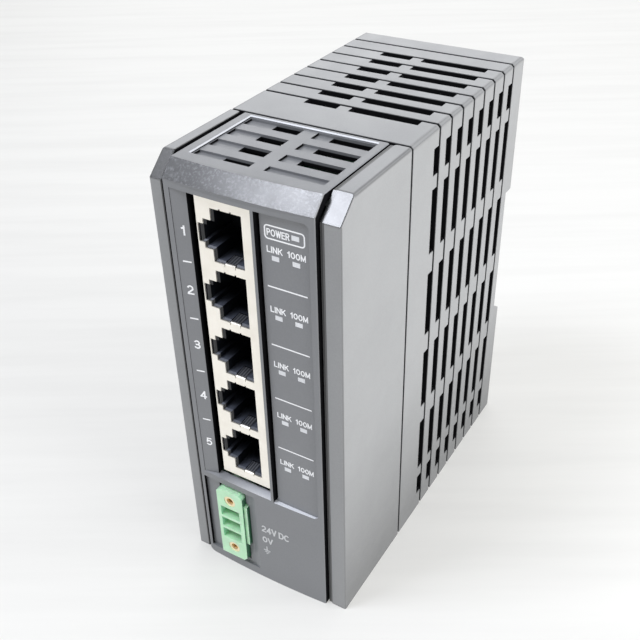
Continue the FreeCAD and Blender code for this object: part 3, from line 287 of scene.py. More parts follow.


# Moulded plastic with a spark-eroded grain and faint flow patches. Sharp outer edges carry a thin line of
# painted shade, the top's front chamfer is polished and may be darker, with painted glints, and strips
# across x carry tones of painted shade. Painted shade also darkens the sides towards the base and the
# places below the skin, and painted highlights lighten upward slopes and the ledges under the windows.
def mouldedPlastic(name, settings, planes):
    material, tree, shader = newMaterial(name)
    point = objectPlace(tree)
    place = partsOf(tree, point)
    across, level = place[0], place[2]
    lean = partsOf(tree, trueNormal(tree))
    grain = noiseOf(tree, point, settings["grain"], 3.0, 0.6)
    depth, edge = skinDepth(tree, point, planes)
    squarely = facing(tree, 0)
    dark = paintedShadePlaces(tree, settings, depth, squarely, place)
    chamfer, rim = slopes(tree, settings, lean, place)

    # Painted shade: a thin dark line along the skin's edges, standing for the dark reflection in their
    # rounding.
    line = rangeOf(tree, edge, settings["edgeFrom"] * mm, settings["edgeTo"] * mm,
                   settings["paintedEdgeShade"], 1.0)
    # Painted shade on the sides, darker towards the base.
    sideShade = rangeOf(tree, level, paintedBaseShade["from"] * mm, paintedBaseShade["to"] * mm, paintedBaseShade["tone"], 1.0)
    tones = [line, mathOf(tree, "ADD", multiplied(tree, sideShade, squarely), inverted(tree, squarely))]
    # Painted shade in bands across x, beside the gaps round the panel.
    tones += [toned(tree, bandOf(tree, across, low, high), tone) for low, high, tone in settings["strips"]]
    # Painted highlight on the level ledges under the windows, stronger to the right.
    if "sillLevel" in settings:
        sill = settings["sillLevel"]
        ledgeHighlight = multiplied(tree, bandOf(tree, level, sill - ledges["high"], sill + ledges["high"]),
                           rise(tree, lean[2], *leans["level"]))
        tones.append(toned(tree, ledgeHighlight, rangeOf(tree, across, ledges["left"] * mm, ledges["right"] * mm,
                                                ledges["leftTone"], ledges["rightTone"])))
    # Painted highlight on the upward slopes other than the chamfer.
    tones.append(toned(tree, rim, settings["paintedRimHighlight"]))
    # Painted glints on the chamfer: random specks lighter and darker than its tone.
    glint = rangeOf(tree, noiseOf(tree, point, moulding["glintSize"], 1.0, 0.5), *moulding["glintSpan"],
                    1.0 - settings["glint"] * moulding["glintDim"], 1.0 + settings["glint"])
    tones.append(toned(tree, chamfer, multiplied(tree, glint, settings["chamferTone"])))
    strength = multiplied(tree, *tones)
    grey = addNode(tree, "ShaderNodeCombineXYZ", inputs={0: strength, 1: strength, 2: strength}).outputs[0]

    colour, inside = settings["colour"], settings["inside"]
    patches = rampOf(tree, noiseOf(tree, point, moulding["patchSize"]), mostNoise,
                     shade(colour, moulding["patchLow"]), shade(colour, moulding["patchHigh"]))
    specks = rampOf(tree, grain, midNoise, (moulding["speck"],) * 3, (1.0,) * 3)
    skin = mixOf(tree, 1.0, mixOf(tree, 1.0, patches, specks, "MULTIPLY"), grey, "MULTIPLY")
    smudges = noiseOf(tree, point, moulding["smudgeSize"], 4.0, 0.65)
    rough = rangeOf(tree, smudges, *midNoise, settings["rough"] - moulding["roughLess"],
                    settings["rough"] + moulding["roughMore"])
    rough = mathOf(tree, "SUBTRACT", rough, multiplied(tree, chamfer, settings["chamferPolish"]))
    # The painted-shade places take the near-black inside colour, rougher and with little sheen.
    setShader(tree, shader,
              colour=mixOf(tree, dark, skin, (inside, inside, inside * moulding["insideBlue"])),
              rough=mathOf(tree, "MAXIMUM", rough, multiplied(tree, dark, moulding["darkRough"])),
              specular=rangeOf(tree, dark, 0.0, 1.0, settings["specular"], moulding["darkSpecular"]))
    bumpOf(tree, shader, grain, settings["bump"], moulding["bumpDepth"])
    return material


def wear(tree, place, grainMm, low, high):
    return rangeOf(tree, noiseOf(tree, place, grainMm, 4.0, 0.6), *midNoise, low, high)


# A metal finish: brushed along one axis, or even all over.
def metal(name, colour, rough, stretch=(1.0, 1.0, 1.0), metallic=1.0):
    material, tree, shader = newMaterial(name)
    place = objectPlace(tree)
    brushed = noiseOf(tree, stretched(tree, place, stretch), 0.6, 4.0, 0.6)
    setShader(tree, shader, metallic=metallic,
              colour=rampOf(tree, brushed, mostNoise, shade(colour, 0.93), shade(colour, 1.04)),
              rough=wear(tree, place, 5.0, rough - 0.05, rough + 0.07))
    bumpOf(tree, shader, brushed, 0.12, 0.02)
    return material


# Plain moulded or coated parts of one colour, with small mottling 22 times as broad as the grain.
def coated(name, colour, rough, grain=0.4, bump=0.12, variation=0.07):
    material, tree, shader = newMaterial(name)
    place = objectPlace(tree)
    fine = noiseOf(tree, place, grain)
    broad = noiseOf(tree, place, grain * 22, 3.0, 0.5)
    setShader(tree, shader, specular=0.5,
              colour=rampOf(tree, broad, mostNoise, shade(colour, 1 - variation),
                            shade(colour, 1 + variation)),
              rough=rangeOf(tree, fine, *mostNoise, rough - 0.04, rough + 0.05))
    bumpOf(tree, shader, fine, bump, 0.04)
    return material


def giveTo(material, *nodeNames):
    for nodeName in nodeNames:
        mesh = nodes[nodeName].data
        mesh.materials.clear()
        mesh.materials.append(material)


# Bevels of the three shells, each as what it takes off the two faces that it joins.
bevels = {"cover": 0.35, "housing": 0.6, "cheekBack": 5.05, "cheekDown": 4.36, "panelY": 44.4,
          "panelBack": 3.3, "panelDown": 3.3}
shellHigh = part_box("rear_housing")[1]
half, rearY, top = shellHigh
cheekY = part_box("front_cover")[0][1]
sidePlanes = [((1, 0, 0), half), ((-1, 0, 0), half), ((0, 0, 1), top), ((0, 0, -1), 0.0)]
cheekPlane, panelPlane = ((0, -1, 0), -cheekY), ((0, -1, 0), bevels["panelY"] * mm)


def sideBevels(width):
    return [bevelPlane((side, 0, 0), half, (0, 0, 1), top, width * mm, width * mm) for side in (1, -1)]


def frontChamfer(plane, back, down):
    return bevelPlane(*plane, (0, 0, 1), top, back * mm, down * mm)


giveTo(mouldedPlastic("coverPlastic", plastics["cover"], sidePlanes + sideBevels(bevels["cover"]) + [
    cheekPlane, frontChamfer(cheekPlane, bevels["cheekBack"], bevels["cheekDown"])]), "front_cover")
giveTo(mouldedPlastic("housingPlastic", plastics["housing"], sidePlanes + sideBevels(bevels["housing"]) + [
    ((0, 1, 0), rearY)]), "rear_housing")
giveTo(mouldedPlastic("panelPlastic", plastics["panel"], sidePlanes[2:] + [
    panelPlane, frontChamfer(panelPlane, bevels["panelBack"], bevels["panelDown"])]), "front_panel")
giveTo(coated("latchPlastic", plastics["housing"]["colour"], 0.45, grain=0.35, variation=0.05),
       "rail_latch")


socketLook = {"colour": (0.085, 0.095, 0.125), "deep": (0.0035, 0.0045, 0.007), "mouth": 0.2, "fade": 5.5,
              "streak": (1.0, 0.12, 1.0), "streakSize": 0.5, "drawnLow": 0.75, "drawnHigh": 1.15,
              "upward": (0.2, 0.75), "roughLow": 0.3, "roughHigh": 0.4, "specular": 0.6}


# Black socket plastic with painted light: upward faces near the mouth are lit grey-blue, falling away
# to black with depth as painted shade.
def socketPlastic(name, frontY):
    material, tree, shader = newMaterial(name)
    place = objectPlace(tree)
    fine = noiseOf(tree, place, 0.3)
    streaks = noiseOf(tree, stretched(tree, place, socketLook["streak"]), socketLook["streakSize"], 2.0, 0.5)
    drawn = rangeOf(tree, streaks, *mostNoise, socketLook["drawnLow"], socketLook["drawnHigh"])
    mouthY = frontY + socketLook["mouth"] * mm
    near = drop(tree, partsOf(tree, place)[1], mouthY, mouthY + socketLook["fade"] * mm)
    paintedMouthLight = multiplied(tree, near, facing(tree, 2, socketLook["upward"], False), drawn)
    setShader(tree, shader, colour=mixOf(tree, paintedMouthLight, socketLook["deep"], socketLook["colour"]),
              rough=rangeOf(tree, fine, *mostNoise, socketLook["roughLow"], socketLook["roughHigh"]),
              specular=socketLook["specular"])
    bumpOf(tree, shader, fine, 0.12, 0.04)
    return material


# Distances are from the sheet's front face, towards the back.
sheetLook = {"low": (0.93, 0.885, 0.8), "high": (1.0, 0.96, 0.885), "cloud": 5.0,
             "groove": (0.1, 0.105, 0.12), "ridge": (0.3, 0.31, 0.345), "grooves": 480.0,
             "far": (0.03, 0.03, 0.034), "inFrom": 0.3, "inTo": 0.55, "farFrom": 3.6, "farTo": 4.2,
             "metallic": 0.75, "wear": 4.0, "roughLow": 0.34, "roughHigh": 0.48,
             "brushed": (1.0, 1.0, 0.15), "brushSize": 0.35}


# Tin-plated sheet: bright warm front; on the sprung fingers a darker blue-grey, finely grooved, painted
# as the reflection of the dark socket; further back, painted shade takes it near black.
def platedSheet(name, frontY):
    material, tree, shader = newMaterial(name)
    place = objectPlace(tree)
    along = partsOf(tree, place)[1]
    warm = rampOf(tree, noiseOf(tree, place, sheetLook["cloud"], 4.0, 0.6), mostNoise,
                  sheetLook["low"], sheetLook["high"])
    grooves = addNode(tree, "ShaderNodeTexWave", {"wave_type": "BANDS", "bands_direction": "X"}, {
        "Vector": place, "Scale": sheetLook["grooves"], "Distortion": 0.6, "Detail": 1.0}).outputs["Fac"]
    paintedFingerReflection = rampOf(tree, grooves, (0.25, 0.8), sheetLook["groove"], sheetLook["ridge"])
    inward = rise(tree, along, frontY + sheetLook["inFrom"] * mm, frontY + sheetLook["inTo"] * mm)
    # Painted shade: near black further into the socket.
    far = rise(tree, along, frontY + sheetLook["farFrom"] * mm, frontY + sheetLook["farTo"] * mm)
    setShader(tree, shader, metallic=sheetLook["metallic"],
              rough=wear(tree, place, sheetLook["wear"], sheetLook["roughLow"], sheetLook["roughHigh"]),
              colour=mixOf(tree, far, mixOf(tree, inward, warm, paintedFingerReflection), sheetLook["far"]))
    brushed = noiseOf(tree, stretched(tree, place, sheetLook["brushed"]), sheetLook["brushSize"], 3.0, 0.6)
    bumpOf(tree, shader, brushed, 0.1, 0.02)
    return material


headerLook = {"colour": (0.53, 0.84, 0.56), "side": (0.03, 0.115, 0.06), "cell": (0.3, 0.62, 0.4),
              "cloud": 3.5, "cloudLow": 0.92, "cloudHigh": 1.06, "wallIn": 1.0, "wallSoft": 0.3,
              "sideways": (0.5, 0.9), "roughLow": 0.28, "roughHigh": 0.36, "specular": 0.6,
              "glow": 0.35, "glowReach": 1.6, "glowColour": (0.5, 1.0, 0.6)}


# Translucent green moulding: light where it faces forward or up. Faces that look sideways carry painted
# shade: a lighter green in its cells and deep green on its right outer walls.
def headerPlastic(name, rightX):
    material, tree, shader = newMaterial(name)
    place = objectPlace(tree)
    fine = noiseOf(tree, place, 0.4)
    tone = rampOf(tree, noiseOf(tree, place, headerLook["cloud"], 3.0, 0.5), mostNoise,
                  shade(headerLook["colour"], headerLook["cloudLow"]),
                  shade(headerLook["colour"], headerLook["cloudHigh"]))
    # Painted shade on the faces that look sideways.
    wallX = rightX - headerLook["wallIn"] * mm
    outer = rise(tree, partsOf(tree, place)[0], wallX - headerLook["wallSoft"] * mm, wallX)
    wall = mixOf(tree, outer, headerLook["cell"], headerLook["side"])
    setShader(tree, shader, colour=mixOf(tree, facing(tree, 0, headerLook["sideways"]), tone, wall),
              rough=rangeOf(tree, fine, *mostNoise, headerLook["roughLow"], headerLook["roughHigh"]),
              specular=headerLook["specular"])
    shader.inputs["Subsurface Weight"].default_value = headerLook["glow"]
    shader.inputs["Subsurface Radius"].default_value = headerLook["glowColour"]
    shader.inputs["Subsurface Scale"].default_value = headerLook["glowReach"] * mm
    bumpOf(tree, shader, fine, 0.08, 0.03)
    return material


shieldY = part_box("port_shield")[0][1]
giveTo(platedSheet("tinPlate", shieldY), "port_shield")
giveTo(socketPlastic("socketBlack", shieldY), "port_housing")
giveTo(headerPlastic("headerGreen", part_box("power_header")[1][0]), "power_header")
giveTo(metal("contactGold", (0.5, 0.37, 0.16), 0.3), "port_contacts")
giveTo(metal("turnedBrass", (0.98, 0.84, 0.56), 0.4, stretch=(1.0, 0.1, 1.0), metallic=0.55),
       "header_inserts")
giveTo(metal("tinnedPin", (0.8, 0.8, 0.78), 0.28), "header_pins")
giveTo(metal("canAluminium", (0.6, 0.6, 0.62), 0.35), "crystal", "input_capacitor", "output_capacitor")
giveTo(coated("boardGreen", (0.01, 0.06, 0.03), 0.35, grain=0.5, bump=0.05),
       "main_board", "power_board", "led_board")
giveTo(coated("chipBlack", (0.015, 0.015, 0.017), 0.5, grain=0.2, bump=0.15),
       "switch_chip", "memory_chip", "choke", "diode_bridge", "regulator", "board_link",
       *("magnetics_%d" % index for index in range(1, ports + 1)))
giveTo(coated("coreTape", (0.55, 0.38, 0.06), 0.4), "transformer")
giveTo(coated("fuseBody", (0.5, 0.48, 0.42), 0.45), "fuse")
giveTo(coated("ledBody", (0.8, 0.8, 0.74), 0.3), "status_leds")
giveTo(coated("lightPipe", (0.74, 0.75, 0.775), 0.35, grain=0.3, bump=0.05), "light_guide")
print("materials given")


# Printed lettering: pen strokes laid on the panel's surface.

lettering = {
    "labelY": -43.95, "lift": 0.012, "thick": 0.03, "layer": 0.003, "layers": 6, "space": 0.35,
    "left": -17.75, "right": 16.85, "edgeY": -44.4, "bow": 0.6,
    "stripFrom": -16.2, "stripTo": -12.6, "stripDrop": 0.75,
    "columns": (7.53, 12.4), "topLight": 94.0, "lightPitch": 13.6, "wordRise": 1.87, "wordHigh": 1.4,
    "linkWide": 3.55, "speedWide": 4.05, "wordPen": 0.24,
    "ruleLeft": 5.47, "ruleRight": 14.5, "ruleTop": 87.5, "rulePitch": 13.97, "ruleWide": 0.3,
    "numberAcross": -14.2, "numberTop": 94.4, "numberPitch": 14.0, "numberHigh": 2.25, "numberPen": 0.36,
    "dashLeft": -15.1, "dashRight": -13.2, "dashTop": 87.2, "dashPitch": 14.0, "dashWide": 0.34,
    "power": {"across": 8.5, "up": 99.55, "wide": 5.05, "high": 1.5, "pen": 0.24},
    "powerFrame": {"left": 5.4, "right": 14.4, "low": 98.0, "high": 101.1, "corner": 0.8, "wide": 0.3},
    "supply": {"across": 3.64, "up": 17.85, "wide": 7.77, "high": 2.1, "pen": 0.36, "gap": 0.26},
    "zero": {"across": 1.26, "up": 14.2, "wide": 3.0, "high": 1.95, "pen": 0.36, "gap": 0.26},
    "earth": ((0.72, 1.0, 10.5, 11.9), (-0.1, 1.82, 10.36, 10.62), (0.24, 1.48, 9.82, 10.06),
              (0.58, 1.14, 9.3, 9.54)),
}


# Circle through the panel's two front corners and its nose: y = nose + R - sqrt(R^2 - x^2).
def bowedY(across):
    chord = lettering["right"] - lettering["left"]
    radius = (chord ** 2 / 4 + lettering["bow"] ** 2) / (2 * lettering["bow"])
    middle = (lettering["left"] + lettering["right"]) / 2
    nose = lettering["edgeY"] - lettering["bow"]
    return nose + radius - np.sqrt(radius ** 2 - (across - middle) ** 2)


# The sloped strip under the numbers: y falls evenly from the panel's edge to the window.
def stripY(across):
    share = (across - lettering["stripFrom"]) / (lettering["stripTo"] - lettering["stripFrom"])
    return lettering["edgeY"] + lettering["stripDrop"] * share


def labelY(across):
    return np.full_like(across, lettering["labelY"])


def meshPiece(name, points, faces, material, body="case", smooth=False):
    mesh = bpy.data.meshes.new(name)
    mesh.from_pydata(np.asarray(points).tolist(), [], [tuple(int(v) for v in face) for face in faces])
    mesh.validate()
    mesh.materials.append(material)
    if smooth:
        mesh.polygons.foreach_set("use_smooth", np.ones(len(mesh.polygons), dtype=bool))
    piece = bpy.data.objects.new(name, mesh)
    bpy.context.scene.collection.objects.link(piece)
    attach(piece, body)
    return piece


# Letters and digits as pen strokes in a box one unit high: each stroke is a list of points, and an arc is
# (centre across, centre up, radius across, radius up, from degrees, to degrees).
glyphs = {
    "0": (0.62, [[(0.31, 0.5, 0.31, 0.5, 0, 360)]]),
    "1": (0.3, [[(0.0, 0.76), (0.1, 0.79), (0.22, 0.88), (0.24, 1.0), (0.24, 0.0)]]),
    "2": (0.62, [[(0.3, 0.7, 0.29, 0.3, 170, -25), (0.06, 0.13), (0.02, 0.0), (0.62, 0.0)]]),
    "3": (0.6, [[(0.29, 0.745, 0.26, 0.255, 165, -80), (0.2, 0.5), (0.3, 0.5),
                 (0.29, 0.26, 0.3, 0.26, 75, -165)]]),
    "4": (0.64, [[(0.48, 0.0), (0.48, 1.0), (0.0, 0.27), (0.64, 0.27)]]),
    "5": (0.6, [[(0.54, 1.0), (0.13, 1.0), (0.06, 0.5), (0.28, 0.32, 0.3, 0.32, 125, -155)]]),
    "C": (0.72, [[(0.38, 0.5, 0.38, 0.5, 42, 318)]]),
    "D": (0.68, [[(0.3, 0.0), (0.0, 0.0), (0.0, 1.0), (0.3, 1.0), (0.3, 0.5, 0.38, 0.5, 90, -90)]]),
    "E": (0.56, [[(0.56, 0.0), (0.0, 0.0), (0.0, 1.0), (0.55, 1.0)], [(0.0, 0.52), (0.5, 0.52)]]),
    "I": (0.0, [[(0.0, 0.0), (0.0, 1.0)]]),
    "K": (0.62, [[(0.0, 0.0), (0.0, 1.0)], [(0.58, 1.0), (0.04, 0.4)], [(0.24, 0.58), (0.62, 0.0)]]),
    "L": (0.5, [[(0.0, 1.0), (0.0, 0.0), (0.5, 0.0)]]),
    "M": (0.74, [[(0.0, 0.0), (0.0, 1.0), (0.37, 0.1), (0.74, 1.0), (0.74, 0.0)]]),
    "N": (0.64, [[(0.0, 0.0), (0.0, 1.0), (0.64, 0.0), (0.64, 1.0)]]),
    "O": (0.8, [[(0.4, 0.5, 0.4, 0.5, 0, 360)]]),
    "P": (0.58, [[(0.0, 0.0), (0.0, 1.0), (0.33, 1.0), (0.33, 0.74, 0.25, 0.26, 90, -90), (0.0, 0.48)]]),
    "R": (0.62, [[(0.0, 0.0), (0.0, 1.0), (0.35, 1.0), (0.35, 0.75, 0.24, 0.25, 90, -90), (0.0, 0.5)],
                 [(0.34, 0.5), (0.6, 0.0)]]),
    "V": (0.68, [[(0.0, 1.0), (0.34, 0.0), (0.68, 1.0)]]),
    "W": (0.96, [[(0.0, 1.0), (0.24, 0.0), (0.48, 0.95), (0.72, 0.0), (0.96, 1.0)]]),
}


# Points along an arc of an ellipse: x = cx + rx cos(turn), y = cy + ry sin(turn).
def arcPath(arc, stepDegrees=20.0):
    across, up, wide, high, start, end = arc
    turn = np.radians(np.linspace(start, end, int(abs(end - start) / stepDegrees) + 2))
    return np.stack([across + wide * np.cos(turn), up + high * np.sin(turn)], 1)


# A band of even width along a path, each side moved square to the path. Straight bars run past their
# ends by half the pen, so that corners fill.
def penBand(path, pen):
    path = np.array(path, dtype=float)
    heading = np.gradient(path, axis=0)
    heading /= np.linalg.norm(heading, axis=1)[:, None]
    if len(path) == 2:
        path = path + heading * [[-pen / 2], [pen / 2]]
    sides = np.stack([-heading[:, 1], heading[:, 0]], 1) * pen / 2
    count = len(path)
    faces = [(k, k + 1, count + k + 1, count + k) for k in range(count - 1)]
    return np.concatenate([path - sides, path + sides]), faces


# The bars and arcs of one stroke, in order.
def strokeRuns(stroke):
    runs, last = [], None
    for entry in stroke:
        arc = len(entry) > 2
        points = arcPath(entry) if arc else np.array([entry], dtype=float)
        if last is not None and np.linalg.norm(points[0] - last) > 1e-6:
            runs.append(np.array([last, points[0]]))
        if arc:
            runs.append(points)
        last = points[-1]
    return runs


# Words from pen strokes, scaled to a measured width and capital height, centred on (across, up).
def wordsAt(words, across, up, wide, high, pen, gap=0.3):
    runs, start = [], 0.0
    for letter in words:
        if letter == " ":
            start += lettering["space"]
            continue
        advance, strokes = glyphs[letter]
        runs += [run + (start, 0.0) for stroke in strokes for run in strokeRuns(stroke)]
        start += advance + gap
    length = start - gap
    stretch = high - pen if wide is None else (wide - pen) / length
    return [penBand((run - (length / 2, 0.5)) * (stretch, high - pen) + (across, up), pen) for run in runs]


# A flat bar between two corners, cut across so that it can follow a bend.
def barMesh(left, right, low, high, steps=8):
    across = np.linspace(left, right, steps + 1)
    points = np.concatenate([np.stack([across, np.full_like(across, low)], 1),
                             np.stack([across, np.full_like(across, high)], 1)])
    faces = [(k, k + 1, k + steps + 2, k + steps + 1) for k in range(steps)]
    return points, faces


# A round-cornered outline of even line width: two loops, the inner one moved in by the width.
def frameMesh(left, right, low, high, corner, wide, arcSteps=6):
    loops = []
    for shrink in (wide, 0.0):
        turns = np.linspace(0, np.pi / 2, arcSteps + 1)
        parts = []
        centres = ((right - corner, high - corner), (left + corner, high - corner),
                   (left + corner, low + corner), (right - corner, low + corner))
        for quarter, (across, up) in enumerate(centres):
            angle = turns + quarter * np.pi / 2
            parts.append(np.stack([across + (corner - shrink) * np.cos(angle),
                                   up + (corner - shrink) * np.sin(angle)], 1))
        loops.append(np.concatenate(parts))
    count = len(loops[0])
    faces = [(k, count + k, count + (k + 1) % count, (k + 1) % count) for k in range(count)]
    return np.concatenate(loops), faces


# Joins flat shapes into one piece of ink with a little body: each point (u, v) goes to x = u, z = v and
# y = surface(u) - lift, with a back layer one ink thickness behind and walls round each shape's rim.
# Neighbouring shapes lie at slightly different heights, so that none share a plane where they cross.
def printOn(name, shapes, surface, material):
    points, faces, start = [], [], 0
    for index, (flat, polygons) in enumerate(shapes):
        across = flat[:, 0]
        raised = index % lettering["layers"] * lettering["layer"]
        front = surface(across) - lettering["lift"] - lettering["thick"] - raised
        count = len(flat)
        points.append(np.stack([across, front, flat[:, 1]], 1))
        points.append(np.stack([across, front + lettering["thick"], flat[:, 1]], 1))
        edges = {}
        for face in polygons:
            faces.append(tuple(v + start for v in face))
            faces.append(tuple(v + start + count for v in reversed(face)))
            for one, two in zip(face, face[1:] + face[:1]):
                edges[(one, two)] = True
        faces += [(two + start, one + start, one + start + count, two + start + count)
                  for one, two in edges if (two, one) not in edges]
        start += count * 2
    return meshPiece(name, np.concatenate(points) * mm, faces, material)


# One bar for each row, centred on evenly spaced levels.
def barRows(left, right, topLevel, pitch, wide, count):
    return [barMesh(left, right, topLevel - row * pitch - wide / 2, topLevel - row * pitch + wide / 2)
            for row in range(count)]


def printLabels():
    left, right = lettering["columns"]
    size = {"high": lettering["wordHigh"], "pen": lettering["wordPen"]}
    labels = wordsAt("POWER", **lettering["power"]) + [frameMesh(**lettering["powerFrame"])]
    for row in range(ports):
        level = lettering["topLight"] - row * lettering["lightPitch"] + lettering["wordRise"]
        labels += wordsAt("LINK", left, level, lettering["linkWide"], **size)
        labels += wordsAt("100M", right, level, lettering["speedWide"], **size)
    labels += barRows(lettering["ruleLeft"], lettering["ruleRight"], lettering["ruleTop"],
                      lettering["rulePitch"], lettering["ruleWide"], ports - 1)
    printOn("light_labels", labels, labelY, ink)


def printNumbers():
    numbers = []
    for row in range(ports):
        level = lettering["numberTop"] - row * lettering["numberPitch"]
        numbers += wordsAt(str(row + 1), lettering["numberAcross"], level, None, lettering["numberHigh"],
                           lettering["numberPen"])
    numbers += barRows(lettering["dashLeft"], lettering["dashRight"], lettering["dashTop"],
                       lettering["dashPitch"], lettering["dashWide"], ports - 1)
    printOn("port_numbers", numbers, stripY, ink)


# The supply's two terminals and the earth sign, in greyer ink on the bowed part of the panel.
def printSupply():
    supply = wordsAt("24V DC", **lettering["supply"]) + wordsAt("0V", **lettering["zero"])
    supply += [barMesh(*bar) for bar in lettering["earth"]]
    greyInk = coated("supplyInk", (0.62, 0.625, 0.64), 0.5, grain=0.3, bump=0.1, variation=0.06)
    printOn("supply_labels", supply, bowedY, greyInk)


ink = coated("printInk", (0.93, 0.935, 0.95), 0.45, grain=0.3, bump=0.1, variation=0.03)
printLabels()
printNumbers()
printSupply()
print("lettering printed")


# Low and high corners of a CAD node, in millimetres.
def cornersOf(nodeName):
    return (np.array(corner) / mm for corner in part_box(nodeName))


# Faces of a closed tube: rings of points joined one after the other, and a cap at each end.
def tubeFaces(rings, around, start=0):
    rows = np.arange(rings - 1)[:, None] * around + start
    columns = np.arange(around)
    after = (columns + 1) % around
    quads = np.stack([rows + columns, rows + around + columns, rows + around + after, rows + after], 2)
    last = start + rings * around - 1
    caps = [tuple(start + k for k in range(around)), tuple(last - k for k in range(around))]
    return quads.reshape(-1, 4).tolist() + caps


# Threads in the two brass inserts: a helical ridge. A point at turn t and section s sits at
# x = cx + r(s) cos t, z = cz + r(s) sin t, y = mouth + pitch t / 2 pi + w(s), with r least at the crest.
# The flanks are a share of the pitch, the ridge tapers in and out over `taper` radians, and its root is
# sunk into the wall.
thread = {"root": 0.945, "crest": 0.72, "sunk": 0.12, "pitch": 0.5, "flank": 0.42, "taper": 2.0, "turns": 9,
          "start": 0.3, "stepsPerTurn": 28, "colour": (0.78, 0.47, 0.16), "rough": 0.3, "metallic": 0.7}


def makeThreads():
    low, high = cornersOf("header_inserts")
    root, pitch, turns = thread["root"], thread["pitch"], thread["turns"]
    middleAcross, radius = (low[0] + high[0]) / 2, (high[0] - low[0]) / 2
    turn = np.linspace(0, 2 * np.pi * turns, turns * thread["stepsPerTurn"] + 1)
    reach = np.array([root, thread["crest"], root, root + thread["sunk"]])
    shift = np.array([-thread["flank"], 0.0, thread["flank"], 0.0]) * pitch
    fade = np.minimum(1.0, np.minimum(turn, turn[-1] - turn) / thread["taper"])[:, None]
    spread = root + (reach - root) * np.where(reach < root, fade, 1.0)
    points, faces = [], []
    for level in (low[2] + radius, high[2] - radius):
        grid = np.stack([middleAcross + spread * np.cos(turn)[:, None],
                         low[1] + thread["start"] + pitch * turn[:, None] / (2 * np.pi) + shift,
                         level + spread * np.sin(turn)[:, None]], 2)
        faces += tubeFaces(len(turn), len(reach), len(points) * grid.shape[0] * len(reach))
        points.append(grid.reshape(-1, 3))
    material = metal("threadBrass", thread["colour"], thread["rough"], metallic=thread["metallic"])
    meshPiece("insert_threads", np.concatenate(points) * mm, faces, material, smooth=True)


# Return spring of the latch, in round wire. The wire's middle line turns at one radius, x = cx + r cos t
# and y = cy + r sin t, and climbs slowly in the closed coil at each end and evenly between them. The
# piece stands for the CAD spring.
coil = {"wire": 0.25, "turns": 7.0, "closed": 0.9, "closedPitch": 0.56, "stepsPerTurn": 40, "round": 12,
        "seat": 14.0, "colour": (0.55, 0.55, 0.57), "rough": 0.25}


def makeSpring():
    low, high = cornersOf("latch_spring")
    wire, turns, closed = coil["wire"], coil["turns"], coil["closed"]
    turn = np.linspace(0, turns, int(turns * coil["stepsPerTurn"]) + 1)
    bottom, top = low[2] + wire, high[2] - wire
    climb = closed * coil["closedPitch"]
    angle = 2 * np.pi * turn
    outward = np.stack([np.cos(angle), np.sin(angle), 0 * angle], 1)
    line = ((high[0] - low[0]) / 2 - wire) * outward
    line[:, 2] = np.interp(turn, [0, closed, turns - closed, turns],
                           [bottom, bottom + climb, top - climb, top])
    along = np.gradient(line, axis=0)
    along /= np.linalg.norm(along, axis=1)[:, None]
    upward = np.cross(outward, along)
    phase = np.linspace(0, 2 * np.pi, coil["round"], endpoint=False)[None, :, None]
    grid = line[:, None] + wire * (np.cos(phase) * outward[:, None] + np.sin(phase) * upward[:, None])
    grid[:, :, :2] += (low[:2] + high[:2]) / 2
    spring = meshPiece("wound_spring", grid.reshape(-1, 3) * mm, tubeFaces(len(turn), coil["round"]),
                       metal("springSteel", coil["colour"], coil["rough"]), smooth=True)
    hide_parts("latch_spring")
    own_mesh(spring)


# Bent legs of the surface-mounted packages: a flat strip carried along a path that leaves the package,
# steps down and lies on the board. The path is (out from the package, height over the board), and the
# inset is the first leg's distance from the package's corner. Sides are (along y, along z).
legs = {
    "path": ((-0.1, 0.62), (0.35, 0.62), (0.6, 0.08), (1.1, 0.08)), "thick": 0.14,
    "switch": {"spacing": 0.8, "wide": 0.32, "sides": ((1, 0), (-1, 0), (0, 1), (0, -1)), "inset": 1.2},
    "memory": {"spacing": 1.27, "wide": 0.42, "sides": ((1, 0), (-1, 0)), "inset": 0.6},
    "magnetics": {"spacing": 1.27, "wide": 0.42, "sides": ((1, 0), (-1, 0)), "inset": 0.5},
}


# side is where the path leads, as (along y, along z); spots are the places along the package's edge.
def legRow(boardX, facingX, origin, side, spots, wide):
    out, height = np.array(legs["path"]).T
    sideY, sideZ = side
    count = len(out)
    grid = np.zeros((len(spots), count, 4, 3))
    for corner, (edgeSign, layer) in enumerate(((-1, 0), (1, 0), (1, 1), (-1, 1))):
        spread = spots[:, None] + edgeSign * wide / 2
        grid[:, :, corner, 0] = boardX + facingX * (height + layer * legs["thick"])
        grid[:, :, corner, 1] = origin[0] + sideY * out + abs(sideZ) * spread
        grid[:, :, corner, 2] = origin[1] + sideZ * out + abs(sideY) * spread
    starts = np.arange(len(spots))[:, None, None] * count * 4
    rows = np.arange(count - 1)[None, :, None] * 4
    columns = np.arange(4)[None, None, :]
    after = (columns + 1) % 4
    quads = np.stack(np.broadcast_arrays(rows + columns, rows + after, rows + 4 + after,
                                         rows + 4 + columns), 3)
    quads = (quads + starts[..., None]).reshape(-1, 4)
    ends = np.concatenate([starts[:, 0] + [3, 2, 1, 0], starts[:, 0] + (count - 1) * 4 + [0, 1, 2, 3]])
    return grid.reshape(-1, 3), np.concatenate([quads, ends])


